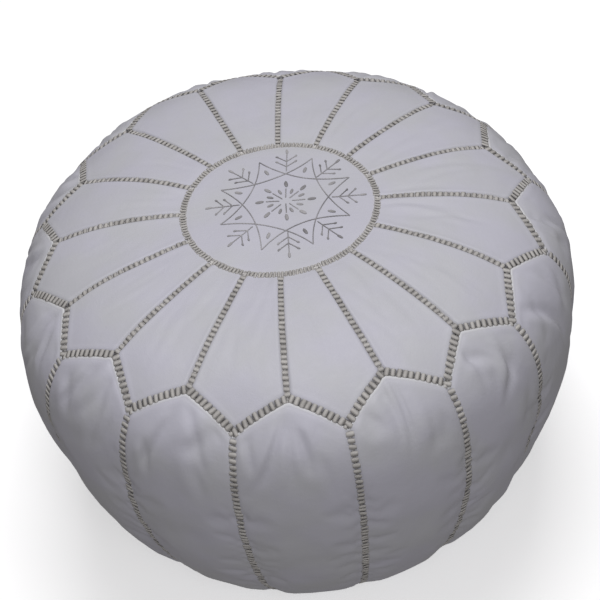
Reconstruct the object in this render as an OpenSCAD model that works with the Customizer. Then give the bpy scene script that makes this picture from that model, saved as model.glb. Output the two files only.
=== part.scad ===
/* [Body] */
// Widest radius of the filled cushion, at its belly
belly_r = 275; // [240:1:300]
// Height of the belly above the floor
belly_z = 216; // [190:1:240]
// Height of the crown above the floor
crown_z = 348; // [330:1:370]
// Radius of the flat patch that rests on the floor
rest_r = 180; // [170:1:186]
// Squareness of the shoulder along the radius
shoulder_x = 4.3; // [3:0.1:6]
// Squareness of the shoulder along the height
shoulder_z = 3.4; // [2.5:0.1:4.5]
// Fullness of the side below the belly
flank = 1.6; // [1.3:0.1:2.2]
// Thickness of the leather
leather_t = 1.4; // [1:0.1:2]
// Air left between the leather and the filling
filling_gap = 0.6; // [0.3:0.1:1]

/* [Pattern] */
// Radius of the seam round the medallion
medallion_r = 91; // [86:0.5:100]
// Radius of the inner corners of the zigzag seam
inner_r = 221; // [200:1:228]
// Radius of the petal tips
tip_r = 249; // [240:1:256]
// Radius of the seam round the base
base_seam_r = 188; // [187:0.5:192]

/* [Seams] */
// Width of the gap between two panels that a seam closes
seam_gap = 2.6; // [2:0.1:4]
// Height that the stitching stands above the leather
stitch_rise = 1.2; // [0.6:0.1:1.6]
// Depth that the stitching reaches into the gap
stitch_depth = 0.9; // [0.4:0.1:1.2]
// Width of one embroidered line
embroidery_w = 1.6; // [1:0.1:2.5]
// Height that the embroidery stands above the medallion
embroidery_rise = 0.6; // [0.4:0.1:1]

/* [Zip] */
// Length of the opening in the base
opening_l = 308; // [300:1:312]
// Width of the opening between the turned-in leather edges
opening_w = 18; // [17:0.5:22]
// Height of the tape above the floor
tape_z = 6.4; // [6:0.1:6.6]
// Thickness of the tape
tape_t = 0.7; // [0.5:0.1:0.8]
// Width of each half of the tape
tape_w = 14.8; // [13:0.1:16]
// Distance between two teeth on one tape
tooth_pitch = 3; // [2.5:0.1:4]
// Travel of the slider along the zip
zip_travel = 264; // [200:1:264]
// Length of the pull tab
pull_l = 26; // [24:1:26]

/* [Hidden] */

petals = 16;
pitch_a = 360 / petals;

// The panels are cut by hand, so each corner of the pattern strays a little from the even ring.
// Each kind of corner strays in slow waves round the pouf, by at most size.
function stray(size, waves, start) = [for (k = [0:petals - 1]) size * sin(start + waves * pitch_a * k)];
// Turns are in degrees, and ways out in millimetres.
medallion_turn = stray(1.2, 3, 200);
inner_turn = stray(0.6, 5, 30);
inner_out = stray(2, 5, 120);
tip_turn = stray(0.6, 3, 80);
tip_out = stray(1.5, 7, 10);
// The medallion and its embroidery sit a little off the middle.
medallion_at = [-1, 3];
embroidery_at = [5, 8];

round_fn = 128;
small_fn = 32;
profile_steps = 12;
eps = 0.1;

leather = "#d8d7dd";
thread = "#a9a49c";
tape = "#c9c6c2";
metal = "#b9b4aa";

// ---- side view of the body ----

// Height of the outer surface above the belly at radius r, with the whole outline moved in by inset
function crown_height(r, inset) =
    belly_z + (crown_z - inset - belly_z)
    * pow(max(0, 1 - pow(r / (belly_r - inset), shoulder_x)), 1 / shoulder_z);

// Radius of the outer surface below the belly, where u runs from 0 at the belly to 1 at the base
function flank_radius(u, inset) =
    rest_r - inset / 2 + (belly_r - rest_r - inset / 2) * pow(max(0, 1 - pow(u, flank)), 1 / flank);

function outline(inset) = concat(
    [[0, crown_z - inset]],
    [for (i = [1:profile_steps])
        let(r = (belly_r - inset) * sin(90 * i / profile_steps)) [r, crown_height(r, inset)]],
    [for (i = [1:profile_steps])
        let(u = sin(90 * i / profile_steps)) [flank_radius(u, inset), belly_z - (belly_z - inset) * u]],
    [[0, inset]]
);

module solid_of(inset) {
    rotate_extrude($fn = round_fn) polygon(outline(inset));
}

module layer(from, to) {
    rotate_extrude($fn = round_fn)
        difference() {
            polygon(outline(from));
            polygon(outline(to));
        }
}

// ---- plan view of the pattern ----

function polar(r, a) = [r * cos(a), r * sin(a)];
function wrap(k) = (k % petals + petals) % petals;
function seam_a(k) = -90 + pitch_a * k;
function tip_a(k) = seam_a(k + 0.5) + tip_turn[wrap(k)];
function medallion_corner(k) = medallion_at + polar(medallion_r, seam_a(k) + medallion_turn[wrap(k)]);
function inner_corner(k) = polar(inner_r + inner_out[wrap(k)], seam_a(k) + inner_turn[wrap(k)]);
function tip(k) = polar(tip_r + tip_out[wrap(k)], tip_a(k));

function unit(v) = v / norm(v);
function left_of(v) = [-v.y, v.x];
function corner(a, b, c, d) =
    let(m = left_of(unit(b - a)), n = left_of(unit(c - b))) b + d * (m + n) / (1 + m * n);

// The outline of anticlockwise points pts, moved in by d on every side
function moved_in(pts, d) =
    let(n = len(pts)) [for (i = [0:n - 1]) corner(pts[(i + n - 1) % n], pts[i], pts[(i + 1) % n], d)];

function zigzag() = [for (k = [0:petals - 1]) each [inner_corner(k), tip(k)]];

module above_belly() {
    translate([0, 0, belly_z]) linear_extrude(crown_z - belly_z + 5) children();
}

// The space inside the zigzag, moved out by d
module crown_cut(d) {
    above_belly() polygon(moved_in(zigzag(), -d));
}

module medallion_disc(r) {
    translate([medallion_at.x, medallion_at.y, belly_z]) cylinder(r = r, h = crown_z - belly_z + 5, $fn = round_fn);
}

module base_disc(r) {
    translate([0, 0, -1]) cylinder(r = r, h = belly_z / 4, $fn = round_fn);
}

// ---- leather panels ----

module medallion() {
    color(leather)
        intersection() {
            layer(0, leather_t);
            medallion_disc(medallion_r - seam_gap / 2);
        }
}

// A point on the line of petal seam k, run on past the edge of the medallion
function seam_start(k) = medallion_corner(k) - 12 * unit(inner_corner(k) - medallion_corner(k));

module petal(k) {
    color(leather)
        difference() {
            intersection() {
                layer(0, leather_t);
                above_belly()
                    polygon(moved_in([
                        seam_start(k), inner_corner(k), tip(k),
                        inner_corner(k + 1), seam_start(k + 1)
                    ], seam_gap / 2));
            }
            medallion_disc(medallion_r + seam_gap / 2);
        }
}

module side_panel(k) {
    far = 2 * belly_r;
    color(leather)
        difference() {
            intersection() {
                layer(0, leather_t);
                translate([0, 0, -1])
                    linear_extrude(crown_z + 5)
                        polygon(moved_in([[0, 0], polar(far, tip_a(k - 1)), polar(far, tip_a(k))], seam_gap / 2));
            }
            crown_cut(seam_gap / 2);
            base_disc(base_seam_r + seam_gap / 2);
        }
}

// Half of the round base, with the leather turned up into a hem along the zip opening
module base_panel(side) {
    hem_l = opening_l / 2;
    hem_y = opening_w / 2;
    color(leather)
        difference() {
            union() {
                intersection() {
                    layer(0, leather_t);
                    base_disc(base_seam_r - seam_gap / 2);
                }
                translate([-hem_l - leather_t, -hem_y - leather_t, 0])
                    cube([opening_l + 2 * leather_t, opening_w + 2 * leather_t, tape_z]);
            }
            translate([-hem_l, -hem_y, -1]) cube([opening_l, opening_w, tape_z + 2]);
            translate([-belly_r, side > 0 ? -belly_r + seam_gap / 2 : -seam_gap / 2, -1])
                cube([2 * belly_r, belly_r, tape_z + 2]);
        }
}

// ---- stitching ----

stitch_w = seam_gap - 2 * eps;

module stitch_layer() {
    layer(-stitch_rise, stitch_depth);
}

module medallion_seam() {
    color(thread)
        difference() {
            intersection() {
                stitch_layer();
                medallion_disc(medallion_r + stitch_w / 2);
            }
            medallion_disc(medallion_r - stitch_w / 2);
        }
}

module petal_seams() {
    color(thread)
        difference() {
            intersection() {
                stitch_layer();
                above_belly()
                    for (k = [0:petals - 1]) {
                        along = unit(inner_corner(k) - medallion_corner(k));
                        across = left_of(along) * stitch_w / 2;
                        start = seam_start(k);
                        end = inner_corner(k) - 3 * seam_gap * along / 2;
                        polygon([start - across, end - across, end + across, start + across]);
                    }
            }
            medallion_disc(medallion_r + seam_gap / 2);
        }
}

module zigzag_seam() {
    color(thread)
        difference() {
            intersection() {
                stitch_layer();
                crown_cut(stitch_w / 2);
            }
            above_belly() polygon(moved_in(zigzag(), stitch_w / 2));
        }
}

module side_seams() {
    color(thread)
        difference() {
            intersection() {
                stitch_layer();
                for (k = [0:petals - 1])
                    rotate([0, 0, tip_a(k)])
                        translate([base_seam_r / 2, -stitch_w / 2, 0]) cube([belly_r, stitch_w, crown_z]);
            }
            crown_cut(3 * seam_gap / 2);
            base_disc(base_seam_r + seam_gap);
        }
}

module base_seam() {
    seam_z = 3;
    color(thread) rotate_extrude($fn = round_fn) translate([base_seam_r, seam_z]) circle(r = 1.1, $fn = 16);
}

// The two short seams that join the base halves beyond the ends of the zip
module base_cross_seams() {
    start = opening_l / 2 + leather_t + eps;
    color(thread)
        for (side = [-1, 1])
            translate([side > 0 ? start : -rest_r, -stitch_w / 2, 0.3])
                cube([rest_r - start, stitch_w, leather_t - 0.4]);
}

// ---- embroidery: an eight-pointed star with bowed sides, a sprig beyond each notch and a rosette inside ----

star_points = 8;
star_r = 66;
bow_r = 36;
sprig_inner_r = 41;
sprig_outer_r = 76;
branch_at = [50, 58, 66];
branch_l = 9;
branch_a = 50;
leaf_inner_r = 6;
leaf_outer_r = 22;

module stroke(a, b) {
    across = left_of(unit(b - a)) * embroidery_w / 2;
    polygon([a - across, b - across, b + across, a + across]);
}

module sprig() {
    stroke([sprig_inner_r, 0], [sprig_outer_r, 0]);
    for (r = branch_at)
        for (side = [-1, 1])
            stroke([r, 0], [r, 0] + polar(branch_l, side * branch_a));
}

module embroidery_plan() {
    star_a = 360 / star_points;
    for (i = [0:star_points - 1])
        rotate([0, 0, star_a * (i + 0.5)]) {
            stroke([star_r, 0], polar(bow_r, star_a));
            stroke(polar(bow_r, star_a), polar(star_r, 2 * star_a));
        }
    for (i = [0:star_points - 1])
        rotate([0, 0, star_a * i]) sprig();
    for (i = [0:star_points - 1])
        rotate([0, 0, star_a * i]) stroke([leaf_inner_r, 0], [leaf_outer_r, 0]);
}

module medallion_embroidery() {
    color(thread)
        intersection() {
            layer(-embroidery_rise, 0);
            above_belly() translate(embroidery_at) embroidery_plan();
        }
}

// ---- zip ----

tape_l = opening_l + 8;
tape_gap = 2.2;
// The row of teeth is longer than the slider's travel, with room for the slider at both ends
chain_l = zip_travel + 24;
tooth_w = 1.5;
tooth_in = 0.8;
tooth_out = 3.2;
tooth_rise = 0.9;
tooth_low = tape_z - tooth_rise;
tooth_high = tape_z + tape_t + tooth_rise;
stop_l = 3;
stop_out = tooth_out + 0.6;
stop_x = chain_l / 2 + 4;
slider_x = zip_travel / 2 + 6;

module zip_tape(side) {
    color(tape)
        translate([-tape_l / 2, side > 0 ? tape_gap : -tape_gap - tape_w, tape_z])
            cube([tape_l, tape_w, tape_t]);
}

// A block on the inner edge of one tape, slotted to grip the tape
module tape_block(side, x, l, reach) {
    difference() {
        translate([x - l / 2, side > 0 ? tooth_in : -reach, tooth_low])
            cube([l, reach - tooth_in, tooth_high - tooth_low]);
        translate([x - l, side > 0 ? tape_gap : -tape_gap - tape_w, tape_z])
            cube([2 * l, tape_w, tape_t]);
    }
}

module zip_teeth(side) {
    count = floor(chain_l / tooth_pitch);
    color(metal)
        for (i = [0:count - 1])
            tape_block(side, -chain_l / 2 + tooth_pitch * (i + (side > 0 ? 0.25 : 0.75)), tooth_w, tooth_out);
}

module zip_top_stops() {
    color(metal)
        for (side = [-1, 1])
            tape_block(side, stop_x, stop_l, stop_out);
}

module zip_bottom_stop() {
    color(metal)
        difference() {
            translate([-stop_x - stop_l / 2, -stop_out, tooth_low])
                cube([stop_l, 2 * stop_out, tooth_high - tooth_low]);
            for (side = [-1, 1])
                translate([-stop_x - stop_l, side > 0 ? tape_gap : -tape_gap - tape_w, tape_z])
                    cube([2 * stop_l, tape_w, tape_t]);
        }
}

slider_half_w = 4.2;
mouth_half_w = 5.2;
slider_back = -6;
slider_front = 7;
flange_back = -4;
flange_front = 5;
flange_t = 0.7;
plate_t = 1.1;
plate_low = 4.2;
plate_high = tooth_high + 0.2;
post_x = 5.4;
post_l = 1.4;
post_w = 1.1;
bail_x = 4;
bail_leg = 1;
bail_t = 0.8;
bail_w = 2;
bail_low = 1.4;
pivot_z = 3.2;

// The slider's outline is widest where the two open rows of teeth come in
module slider_plan() {
    polygon([
        [slider_back, -slider_half_w], [0, -slider_half_w], [3, -mouth_half_w], [slider_front, -mouth_half_w],
        [slider_front, mouth_half_w], [3, mouth_half_w], [0, slider_half_w], [slider_back, slider_half_w]
    ]);
}

// The side walls that keep the teeth in, from height low to height high
module slider_flanges(low, high) {
    translate([0, 0, low])
        linear_extrude(high - low)
            intersection() {
                difference() {
                    slider_plan();
                    square([4 * slider_front, 2 * (slider_half_w - flange_t)], center = true);
                }
                translate([flange_back, -2 * mouth_half_w])
                    square([flange_front - flange_back, 4 * mouth_half_w]);
            }
}

module zip_slider() {
    tape_play = 0.3;
    color(metal)
        translate([slider_x, 0, 0]) {
            for (z = [plate_low, plate_high])
                translate([0, 0, z]) linear_extrude(plate_t) slider_plan();
            translate([post_x, -post_w / 2, plate_low]) cube([post_l, post_w, plate_high + plate_t - plate_low]);
            slider_flanges(plate_low + plate_t, tape_z - tape_play);
            slider_flanges(tape_z + tape_t + tape_play, plate_high);
            for (x = [-bail_x, bail_x - bail_leg])
                translate([x, -bail_w / 2, bail_low]) cube([bail_leg, bail_w, plate_low - bail_low]);
            translate([-bail_x, -bail_w / 2, bail_low]) cube([2 * bail_x, bail_w, bail_t]);
        }
}

// The tab hangs from a crossbar in the slider's bail, with its tip just clear of the floor
module zip_pull() {
    tab_w = 7;
    tab_t = 1.2;
    droop = 5;
    bar_r = 0.6;
    window_l = 5;
    window_w = bail_w + 0.8;
    hole_r = 1.6;
    color(metal)
        translate([slider_x, 0, pivot_z])
            rotate([0, -droop, 0]) {
                rotate([90, 0, 0]) cylinder(r = bar_r, h = tab_w - 1, center = true, $fn = small_fn);
                difference() {
                    translate([-pull_l + tab_w / 2, -tab_w / 2, -tab_t / 2])
                        cube([pull_l - tab_w / 2, tab_w, tab_t]);
                    translate([-window_l - bar_r, -window_w / 2, -tab_t])
                        cube([window_l + 2, window_w, 2 * tab_t]);
                }
                difference() {
                    translate([-pull_l + tab_w / 2, 0, -tab_t / 2])
                        cylinder(r = tab_w / 2, h = tab_t, $fn = small_fn);
                    translate([-pull_l + tab_w / 2, 0, -tab_t])
                        cylinder(r = hole_r, h = 2 * tab_t, $fn = small_fn);
                }
            }
}

// ---- filling ----

module filling() {
    channel_l = tape_l + 4;
    channel_w = 2 * (tape_gap + tape_w) + 2;
    color("ivory")
        difference() {
            solid_of(leather_t + filling_gap);
            translate([-channel_l / 2, -channel_w / 2, -1])
                cube([channel_l, channel_w, plate_high + plate_t + 1.6]);
        }
}

medallion();
petal(0);  // petal_01
petal(1);  // petal_02
petal(2);  // petal_03
petal(3);  // petal_04
petal(4);  // petal_05
petal(5);  // petal_06
petal(6);  // petal_07
petal(7);  // petal_08
petal(8);  // petal_09
petal(9);  // petal_10
petal(10);  // petal_11
petal(11);  // petal_12
petal(12);  // petal_13
petal(13);  // petal_14
petal(14);  // petal_15
petal(15);  // petal_16
side_panel(0);  // side_panel_01
side_panel(1);  // side_panel_02
side_panel(2);  // side_panel_03
side_panel(3);  // side_panel_04
side_panel(4);  // side_panel_05
side_panel(5);  // side_panel_06
side_panel(6);  // side_panel_07
side_panel(7);  // side_panel_08
side_panel(8);  // side_panel_09
side_panel(9);  // side_panel_10
side_panel(10);  // side_panel_11
side_panel(11);  // side_panel_12
side_panel(12);  // side_panel_13
side_panel(13);  // side_panel_14
side_panel(14);  // side_panel_15
side_panel(15);  // side_panel_16
base_panel(-1);  // base_panel_front
base_panel(1);  // base_panel_back
medallion_seam();
petal_seams();
zigzag_seam();
side_seams();
base_seam();
base_cross_seams();
medallion_embroidery();
filling();
zip_tape(-1);  // zip_tape_front
zip_tape(1);  // zip_tape_back
zip_teeth(-1);  // zip_teeth_front
zip_teeth(1);  // zip_teeth_back
zip_top_stops();
zip_bottom_stop();
zip_slider();
zip_pull();
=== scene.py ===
"""A stuffed leather pouf: hand-stitched petals, side panels and medallion over a loose filling."""

from __future__ import annotations

import logging
import math
from collections.abc import Callable
from dataclasses import dataclass, field
from enum import Enum

import bpy
import numpy as np
from mathutils import Matrix, Vector
from mathutils.bvhtree import BVHTree


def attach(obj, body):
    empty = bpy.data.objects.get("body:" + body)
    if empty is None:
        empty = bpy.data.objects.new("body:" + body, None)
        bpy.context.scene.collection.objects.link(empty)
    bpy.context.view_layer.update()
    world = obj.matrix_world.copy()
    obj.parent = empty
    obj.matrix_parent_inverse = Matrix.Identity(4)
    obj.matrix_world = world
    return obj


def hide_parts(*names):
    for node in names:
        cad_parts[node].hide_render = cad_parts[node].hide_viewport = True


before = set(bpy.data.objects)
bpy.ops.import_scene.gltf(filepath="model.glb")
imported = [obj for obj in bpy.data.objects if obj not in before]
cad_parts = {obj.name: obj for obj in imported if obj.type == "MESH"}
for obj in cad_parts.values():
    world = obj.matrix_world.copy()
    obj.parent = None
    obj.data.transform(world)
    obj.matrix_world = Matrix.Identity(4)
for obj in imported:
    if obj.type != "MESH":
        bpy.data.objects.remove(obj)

MM = 0.001
LOG = logging.getLogger("pouf")


# ---------------------------------------------------------------- finishes


def linear(hex_colour: str) -> tuple[float, float, float, float]:
    """Turn an sRGB hex colour into the linear colour that shader sockets take.

    Args:
        hex_colour: Six hex digits, such as "b9b8c3".

    Returns:
        Linear red, green, blue and an alpha of 1.
    """
    out = []
    for i in (0, 2, 4):
        c = int(hex_colour[i : i + 2], 16) / 255
        out.append(c / 12.92 if c <= 0.04045 else ((c + 0.055) / 1.055) ** 2.4)
    return (out[0], out[1], out[2], 1.0)


def add_node(tree: bpy.types.NodeTree, kind: str, values: dict | None = None, **settings) -> bpy.types.Node:
    """Add one shader node, set it up and link it.

    Args:
        tree: The material's node tree.
        kind: The node's type name.
        values: Input name or index to a value, or to the output socket that feeds it.
        **settings: Attributes of the node itself.

    Returns:
        The new node.
    """
    node = tree.nodes.new(kind)
    for name, value in settings.items():
        setattr(node, name, value)
    for key, value in (values or {}).items():
        if isinstance(value, bpy.types.NodeSocket):
            tree.links.new(value, node.inputs[key])
        else:
            node.inputs[key].default_value = value
    return node


def new_material(name: str) -> tuple[bpy.types.Material, bpy.types.NodeTree, bpy.types.Node]:
    """Make an empty node material.

    Args:
        name: The material's name.

    Returns:
        The material, its tree and its Principled shader.
    """
    material = bpy.data.materials.new(name)
    material.use_nodes = True
    tree = material.node_tree
    shader = next(n for n in tree.nodes if n.type == "BSDF_PRINCIPLED")
    return material, tree, shader


@dataclass(frozen=True)
class PaleLeather:
    """Drum-dyed goatskin with a thin water-based finish.

    The dye takes unevenly, so broad patches drift between a cool and a neutral pale grey, the finish
    is matt with a soft gloss where the skin is stretched, and the cut edges, rubbed by the thread, are
    a little warmer. Along the ridge of each folded edge a lighter colour is painted on as a highlight.
    """

    name: str = "pale_goatskin_leather"
    cool: str = "b9b8c4"
    neutral: str = "b8b8bf"
    edge: str = "c2bfbd"
    edge_mm: float = 1.8
    # Colour of the painted highlight along the ridge of a folded edge.
    fold: str = "d2d2d6"
    roughness: float = 0.50
    pore_mm: float = 1.3
    crease_mm: float = 9.0
    mottle_mm: float = 60.0

    def build(self) -> bpy.types.Material:
        """Return the finished material.

        Returns:
            The finish.
        """
        material, tree, shader = new_material(self.name)
        place = add_node(tree, "ShaderNodeTexCoord").outputs["Object"]
        # Patches of uneven dye, about as wide as a palm.
        mottle = add_node(tree, "ShaderNodeTexNoise",
                          {"Vector": place, "Scale": 1000 / self.mottle_mm, "Detail": 3.0, "Roughness": 0.5})
        tone = add_node(tree, "ShaderNodeValToRGB", {"Fac": mottle.outputs["Fac"]})
        tone.color_ramp.elements[0].position = 0.38
        tone.color_ramp.elements[0].color = linear(self.neutral)
        tone.color_ramp.elements[1].position = 0.60
        tone.color_ramp.elements[1].color = linear(self.cool)
        # Warmer colour within a few millimetres of a seam.
        away = add_node(tree, "ShaderNodeAttribute", attribute_name="seam_distance")
        near = add_node(tree, "ShaderNodeMapRange",
                        {"Value": away.outputs["Fac"], "From Min": 0.0, "From Max": 2.5 * self.edge_mm * MM,
                         "To Min": 0.85, "To Max": 0.0}, interpolation_type="SMOOTHSTEP")
        colour = add_node(tree, "ShaderNodeMix",
                          {0: near.outputs["Result"], 6: tone.outputs["Color"], 7: linear(self.edge)},
                          data_type="RGBA")
        # Painted highlight: a lighter colour along the ridge of a folded edge, standing in for the light that
        # the fold catches.
        crest = add_node(tree, "ShaderNodeAttribute", attribute_name="painted_fold_highlight")
        wear_and_highlight = add_node(tree, "ShaderNodeMix",
                        {0: crest.outputs["Fac"], 6: colour.outputs[2], 7: linear(self.fold)},
                        data_type="RGBA")
        # Pores, and the fine creases between them.
        pores = add_node(tree, "ShaderNodeTexVoronoi",
                         {"Vector": place, "Scale": 1000 / self.pore_mm}, feature="DISTANCE_TO_EDGE")
        creases = add_node(tree, "ShaderNodeTexNoise",
                           {"Vector": place, "Scale": 1000 / self.crease_mm, "Detail": 5.0,
                            "Roughness": 0.6, "Distortion": 0.5})
        grain = add_node(tree, "ShaderNodeMath",
                         {0: pores.outputs["Distance"], 1: 0.35}, operation="MULTIPLY")
        height = add_node(tree, "ShaderNodeMath",
                          {0: grain.outputs[0], 1: creases.outputs["Fac"]}, operation="ADD")
        bump = add_node(tree, "ShaderNodeBump",
                        {"Height": height.outputs[0], "Strength": 0.4, "Distance": 0.0009})
        rough = add_node(tree, "ShaderNodeMapRange",
                         {"Value": creases.outputs["Fac"], "To Min": self.roughness - 0.07,
                          "To Max": self.roughness + 0.09})
        tree.links.new(wear_and_highlight.outputs[2], shader.inputs["Base Color"])
        tree.links.new(rough.outputs["Result"], shader.inputs["Roughness"])
        tree.links.new(bump.outputs["Normal"], shader.inputs["Normal"])
        shader.inputs["Specular IOR Level"].default_value = 0.4
        shader.inputs["Sheen Weight"].default_value = 0.05
        shader.inputs["Sheen Roughness"].default_value = 0.5
        return material


@dataclass(frozen=True)
class WaxedThread:
    """Spun agave-silk thread, waxed for sewing: matt and slightly hairy, its tone drifting along its length.
    """

    name: str = "waxed_agave_thread"
    light: str = "bbb8b6"
    dark: str = "a6a3a1"
    roughness: float = 0.75
    ply_mm: float = 1.1
    drift_mm: float = 14.0

    def build(self) -> bpy.types.Material:
        """Return the finished material.

        Returns:
            The finish.
        """
        material, tree, shader = new_material(self.name)
        place = add_node(tree, "ShaderNodeTexCoord").outputs["Object"]
        drift = add_node(tree, "ShaderNodeTexNoise",
                         {"Vector": place, "Scale": 1000 / self.drift_mm, "Detail": 2.0})
        tone = add_node(tree, "ShaderNodeValToRGB", {"Fac": drift.outputs["Fac"]})
        tone.color_ramp.elements[0].position = 0.35
        tone.color_ramp.elements[0].color = linear(self.dark)
        tone.color_ramp.elements[1].position = 0.62
        tone.color_ramp.elements[1].color = linear(self.light)
        fibre = add_node(tree, "ShaderNodeTexNoise",
                         {"Vector": place, "Scale": 1000 / self.ply_mm, "Detail": 3.0, "Roughness": 0.7})
        bump = add_node(tree, "ShaderNodeBump",
                        {"Height": fibre.outputs["Fac"], "Strength": 0.5, "Distance": 0.0004})
        tree.links.new(tone.outputs["Color"], shader.inputs["Base Color"])
        tree.links.new(bump.outputs["Normal"], shader.inputs["Normal"])
        shader.inputs["Roughness"].default_value = self.roughness
        shader.inputs["Specular IOR Level"].default_value = 0.25
        return material


@dataclass(frozen=True)
class CottonWadding:
    """Loose cotton wadding, dull and tangled into tufts, painted darker than off-white cotton so that the
    gaps between panels show painted shade.
    """

    name: str = "cotton_wadding_painted_shade"
    # Both tones are painted shade, darker than cotton's own off-white.
    light: str = "b5aea2"
    dark: str = "7c766c"
    tuft_mm: float = 11.0

    def build(self) -> bpy.types.Material:
        """Return the finished material.

        Returns:
            The finish.
        """
        material, tree, shader = new_material(self.name)
        place = add_node(tree, "ShaderNodeTexCoord").outputs["Object"]
        tufts = add_node(tree, "ShaderNodeTexNoise",
                         {"Vector": place, "Scale": 1000 / self.tuft_mm, "Detail": 8.0, "Roughness": 0.75})
        tone = add_node(tree, "ShaderNodeValToRGB", {"Fac": tufts.outputs["Fac"]})
        tone.color_ramp.elements[0].position = 0.35
        tone.color_ramp.elements[0].color = linear(self.dark)
        tone.color_ramp.elements[1].position = 0.65
        tone.color_ramp.elements[1].color = linear(self.light)
        bump = add_node(tree, "ShaderNodeBump",
                        {"Height": tufts.outputs["Fac"], "Strength": 0.9, "Distance": 0.004})
        tree.links.new(tone.outputs["Color"], shader.inputs["Base Color"])
        tree.links.new(bump.outputs["Normal"], shader.inputs["Normal"])
        shader.inputs["Roughness"].default_value = 0.95
        shader.inputs["Specular IOR Level"].default_value = 0.1
        return material


@dataclass(frozen=True)
class PolyesterTape:
    """Woven polyester zip tape: a fine herringbone rib, drawn at 1 mm so that it shows."""

    name: str = "woven_polyester_tape"
    light: str = "c9c6c1"
    dark: str = "a5a19b"
    rib_mm: float = 1.0

    def build(self) -> bpy.types.Material:
        """Return the finished material.

        Returns:
            The finish.
        """
        material, tree, shader = new_material(self.name)
        place = add_node(tree, "ShaderNodeTexCoord").outputs["Object"]
        lean = add_node(tree, "ShaderNodeMapping",
                        {"Vector": place, "Rotation": (0.0, 0.0, math.radians(38))})
        # At a scale of 1 the wave repeats every tenth of pi.
        ribs = add_node(tree, "ShaderNodeTexWave",
                        {"Vector": lean.outputs[0], "Scale": math.pi / 10 / (self.rib_mm * MM),
                         "Distortion": 0.6, "Detail": 1.0, "Detail Scale": 2.0})
        tone = add_node(tree, "ShaderNodeValToRGB", {"Fac": ribs.outputs["Fac"]})
        tone.color_ramp.elements[0].color = linear(self.dark)
        tone.color_ramp.elements[1].color = linear(self.light)
        bump = add_node(tree, "ShaderNodeBump",
                        {"Height": ribs.outputs["Fac"], "Strength": 0.6, "Distance": 0.0003})
        tree.links.new(tone.outputs["Color"], shader.inputs["Base Color"])
        tree.links.new(bump.outputs["Normal"], shader.inputs["Normal"])
        shader.inputs["Roughness"].default_value = 0.8
        shader.inputs["Sheen Weight"].default_value = 0.2
        return material


@dataclass(frozen=True)
class ZincAlloy:
    """Die-cast zinc with a dull nickel plating: satin, with small scuffs from handling."""

    name: str = "nickel_plated_zinc"
    colour: str = "b8b3aa"
    wear_and_highlight: str = "97928a"
    roughness: float = 0.34
    scuff_mm: float = 3.0

    def build(self) -> bpy.types.Material:
        """Return the finished material.

        Returns:
            The finish.
        """
        material, tree, shader = new_material(self.name)
        place = add_node(tree, "ShaderNodeTexCoord").outputs["Object"]
        scuffs = add_node(tree, "ShaderNodeTexNoise",
                          {"Vector": place, "Scale": 1000 / self.scuff_mm, "Detail": 6.0, "Roughness": 0.7})
        tone = add_node(tree, "ShaderNodeValToRGB", {"Fac": scuffs.outputs["Fac"]})
        tone.color_ramp.elements[0].position = 0.35
        tone.color_ramp.elements[0].color = linear(self.wear_and_highlight)
        tone.color_ramp.elements[1].position = 0.55
        tone.color_ramp.elements[1].color = linear(self.colour)
        rough = add_node(tree, "ShaderNodeMapRange",
                         {"Value": scuffs.outputs["Fac"], "To Min": self.roughness + 0.12,
                          "To Max": self.roughness - 0.05})
        tree.links.new(tone.outputs["Color"], shader.inputs["Base Color"])
        tree.links.new(rough.outputs["Result"], shader.inputs["Roughness"])
        shader.inputs["Metallic"].default_value = 1.0
        return material


# ---------------------------------------------------------------- mesh tools


def mesh_object(name: str, verts: np.ndarray, faces: list) -> bpy.types.Object:
    """Make a smooth mesh object at the origin from its points and faces.

    Args:
        name: The object's name.
        verts: N x 3 points.
        faces: Lists of point numbers.

    Returns:
        The linked object.
    """
    mesh = bpy.data.meshes.new(name)
    mesh.from_pydata(np.asarray(verts).tolist(), [], faces)
    mesh.polygons.foreach_set("use_smooth", [True] * len(mesh.polygons))
    obj = bpy.data.objects.new(name, mesh)
    bpy.context.scene.collection.objects.link(obj)
    return obj


def grid_faces(rows: int, cols: int, closed: bool = False, start: int = 0) -> list[tuple[int, int, int, int]]:
    """Quads of a grid of points stored row by row.

    Args:
        rows: Number of rows.
        cols: Points in a row.
        closed: Whether each row is a ring.
        start: Number of the grid's first point.

    Returns:
        The quads.
    """
    across = cols if closed else cols - 1
    return [
        (start + i * cols + j, start + (i + 1) * cols + j,
         start + (i + 1) * cols + (j + 1) % cols, start + i * cols + (j + 1) % cols)
        for i in range(rows - 1) for j in range(across)
    ]


def join_parts(parts: list[tuple[np.ndarray, list]]) -> tuple[np.ndarray, list]:
    """Put several point-and-face lists into one.

    Args:
        parts: The lists.

    Returns:
        All points and all faces.
    """
    verts, faces, count = [], [], 0
    for points, quads in parts:
        verts.append(points)
        faces += [tuple(i + count for i in f) for f in quads]
        count += len(points)
    return np.concatenate(verts), faces


def tube(path: np.ndarray, side: np.ndarray, up: np.ndarray, section: np.ndarray,
         swell: np.ndarray | None = None) -> tuple[np.ndarray, list]:
    """Sweep a closed section along a path and close both ends.

    Args:
        path: N x 3 points.
        side: N x 3 unit vectors that the section's first coordinate follows.
        up: N x 3 unit vectors that the second one follows.
        section: M x 2 points of the section, in metres.
        swell: Size of the section at each point of the path.

    Returns:
        Points and faces.
    """
    size = np.ones(len(path)) if swell is None else swell
    ring = path[:, None] + size[:, None, None] * (
        section[None, :, :1] * side[:, None] + section[None, :, 1:] * up[:, None])
    around, count = len(section), len(path)
    faces = grid_faces(count, around, closed=True)
    faces.append(tuple(range(around)))
    last = (count - 1) * around
    faces.append(tuple(range(last + around - 1, last - 1, -1)))
    return ring.reshape(-1, 3), faces


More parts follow.
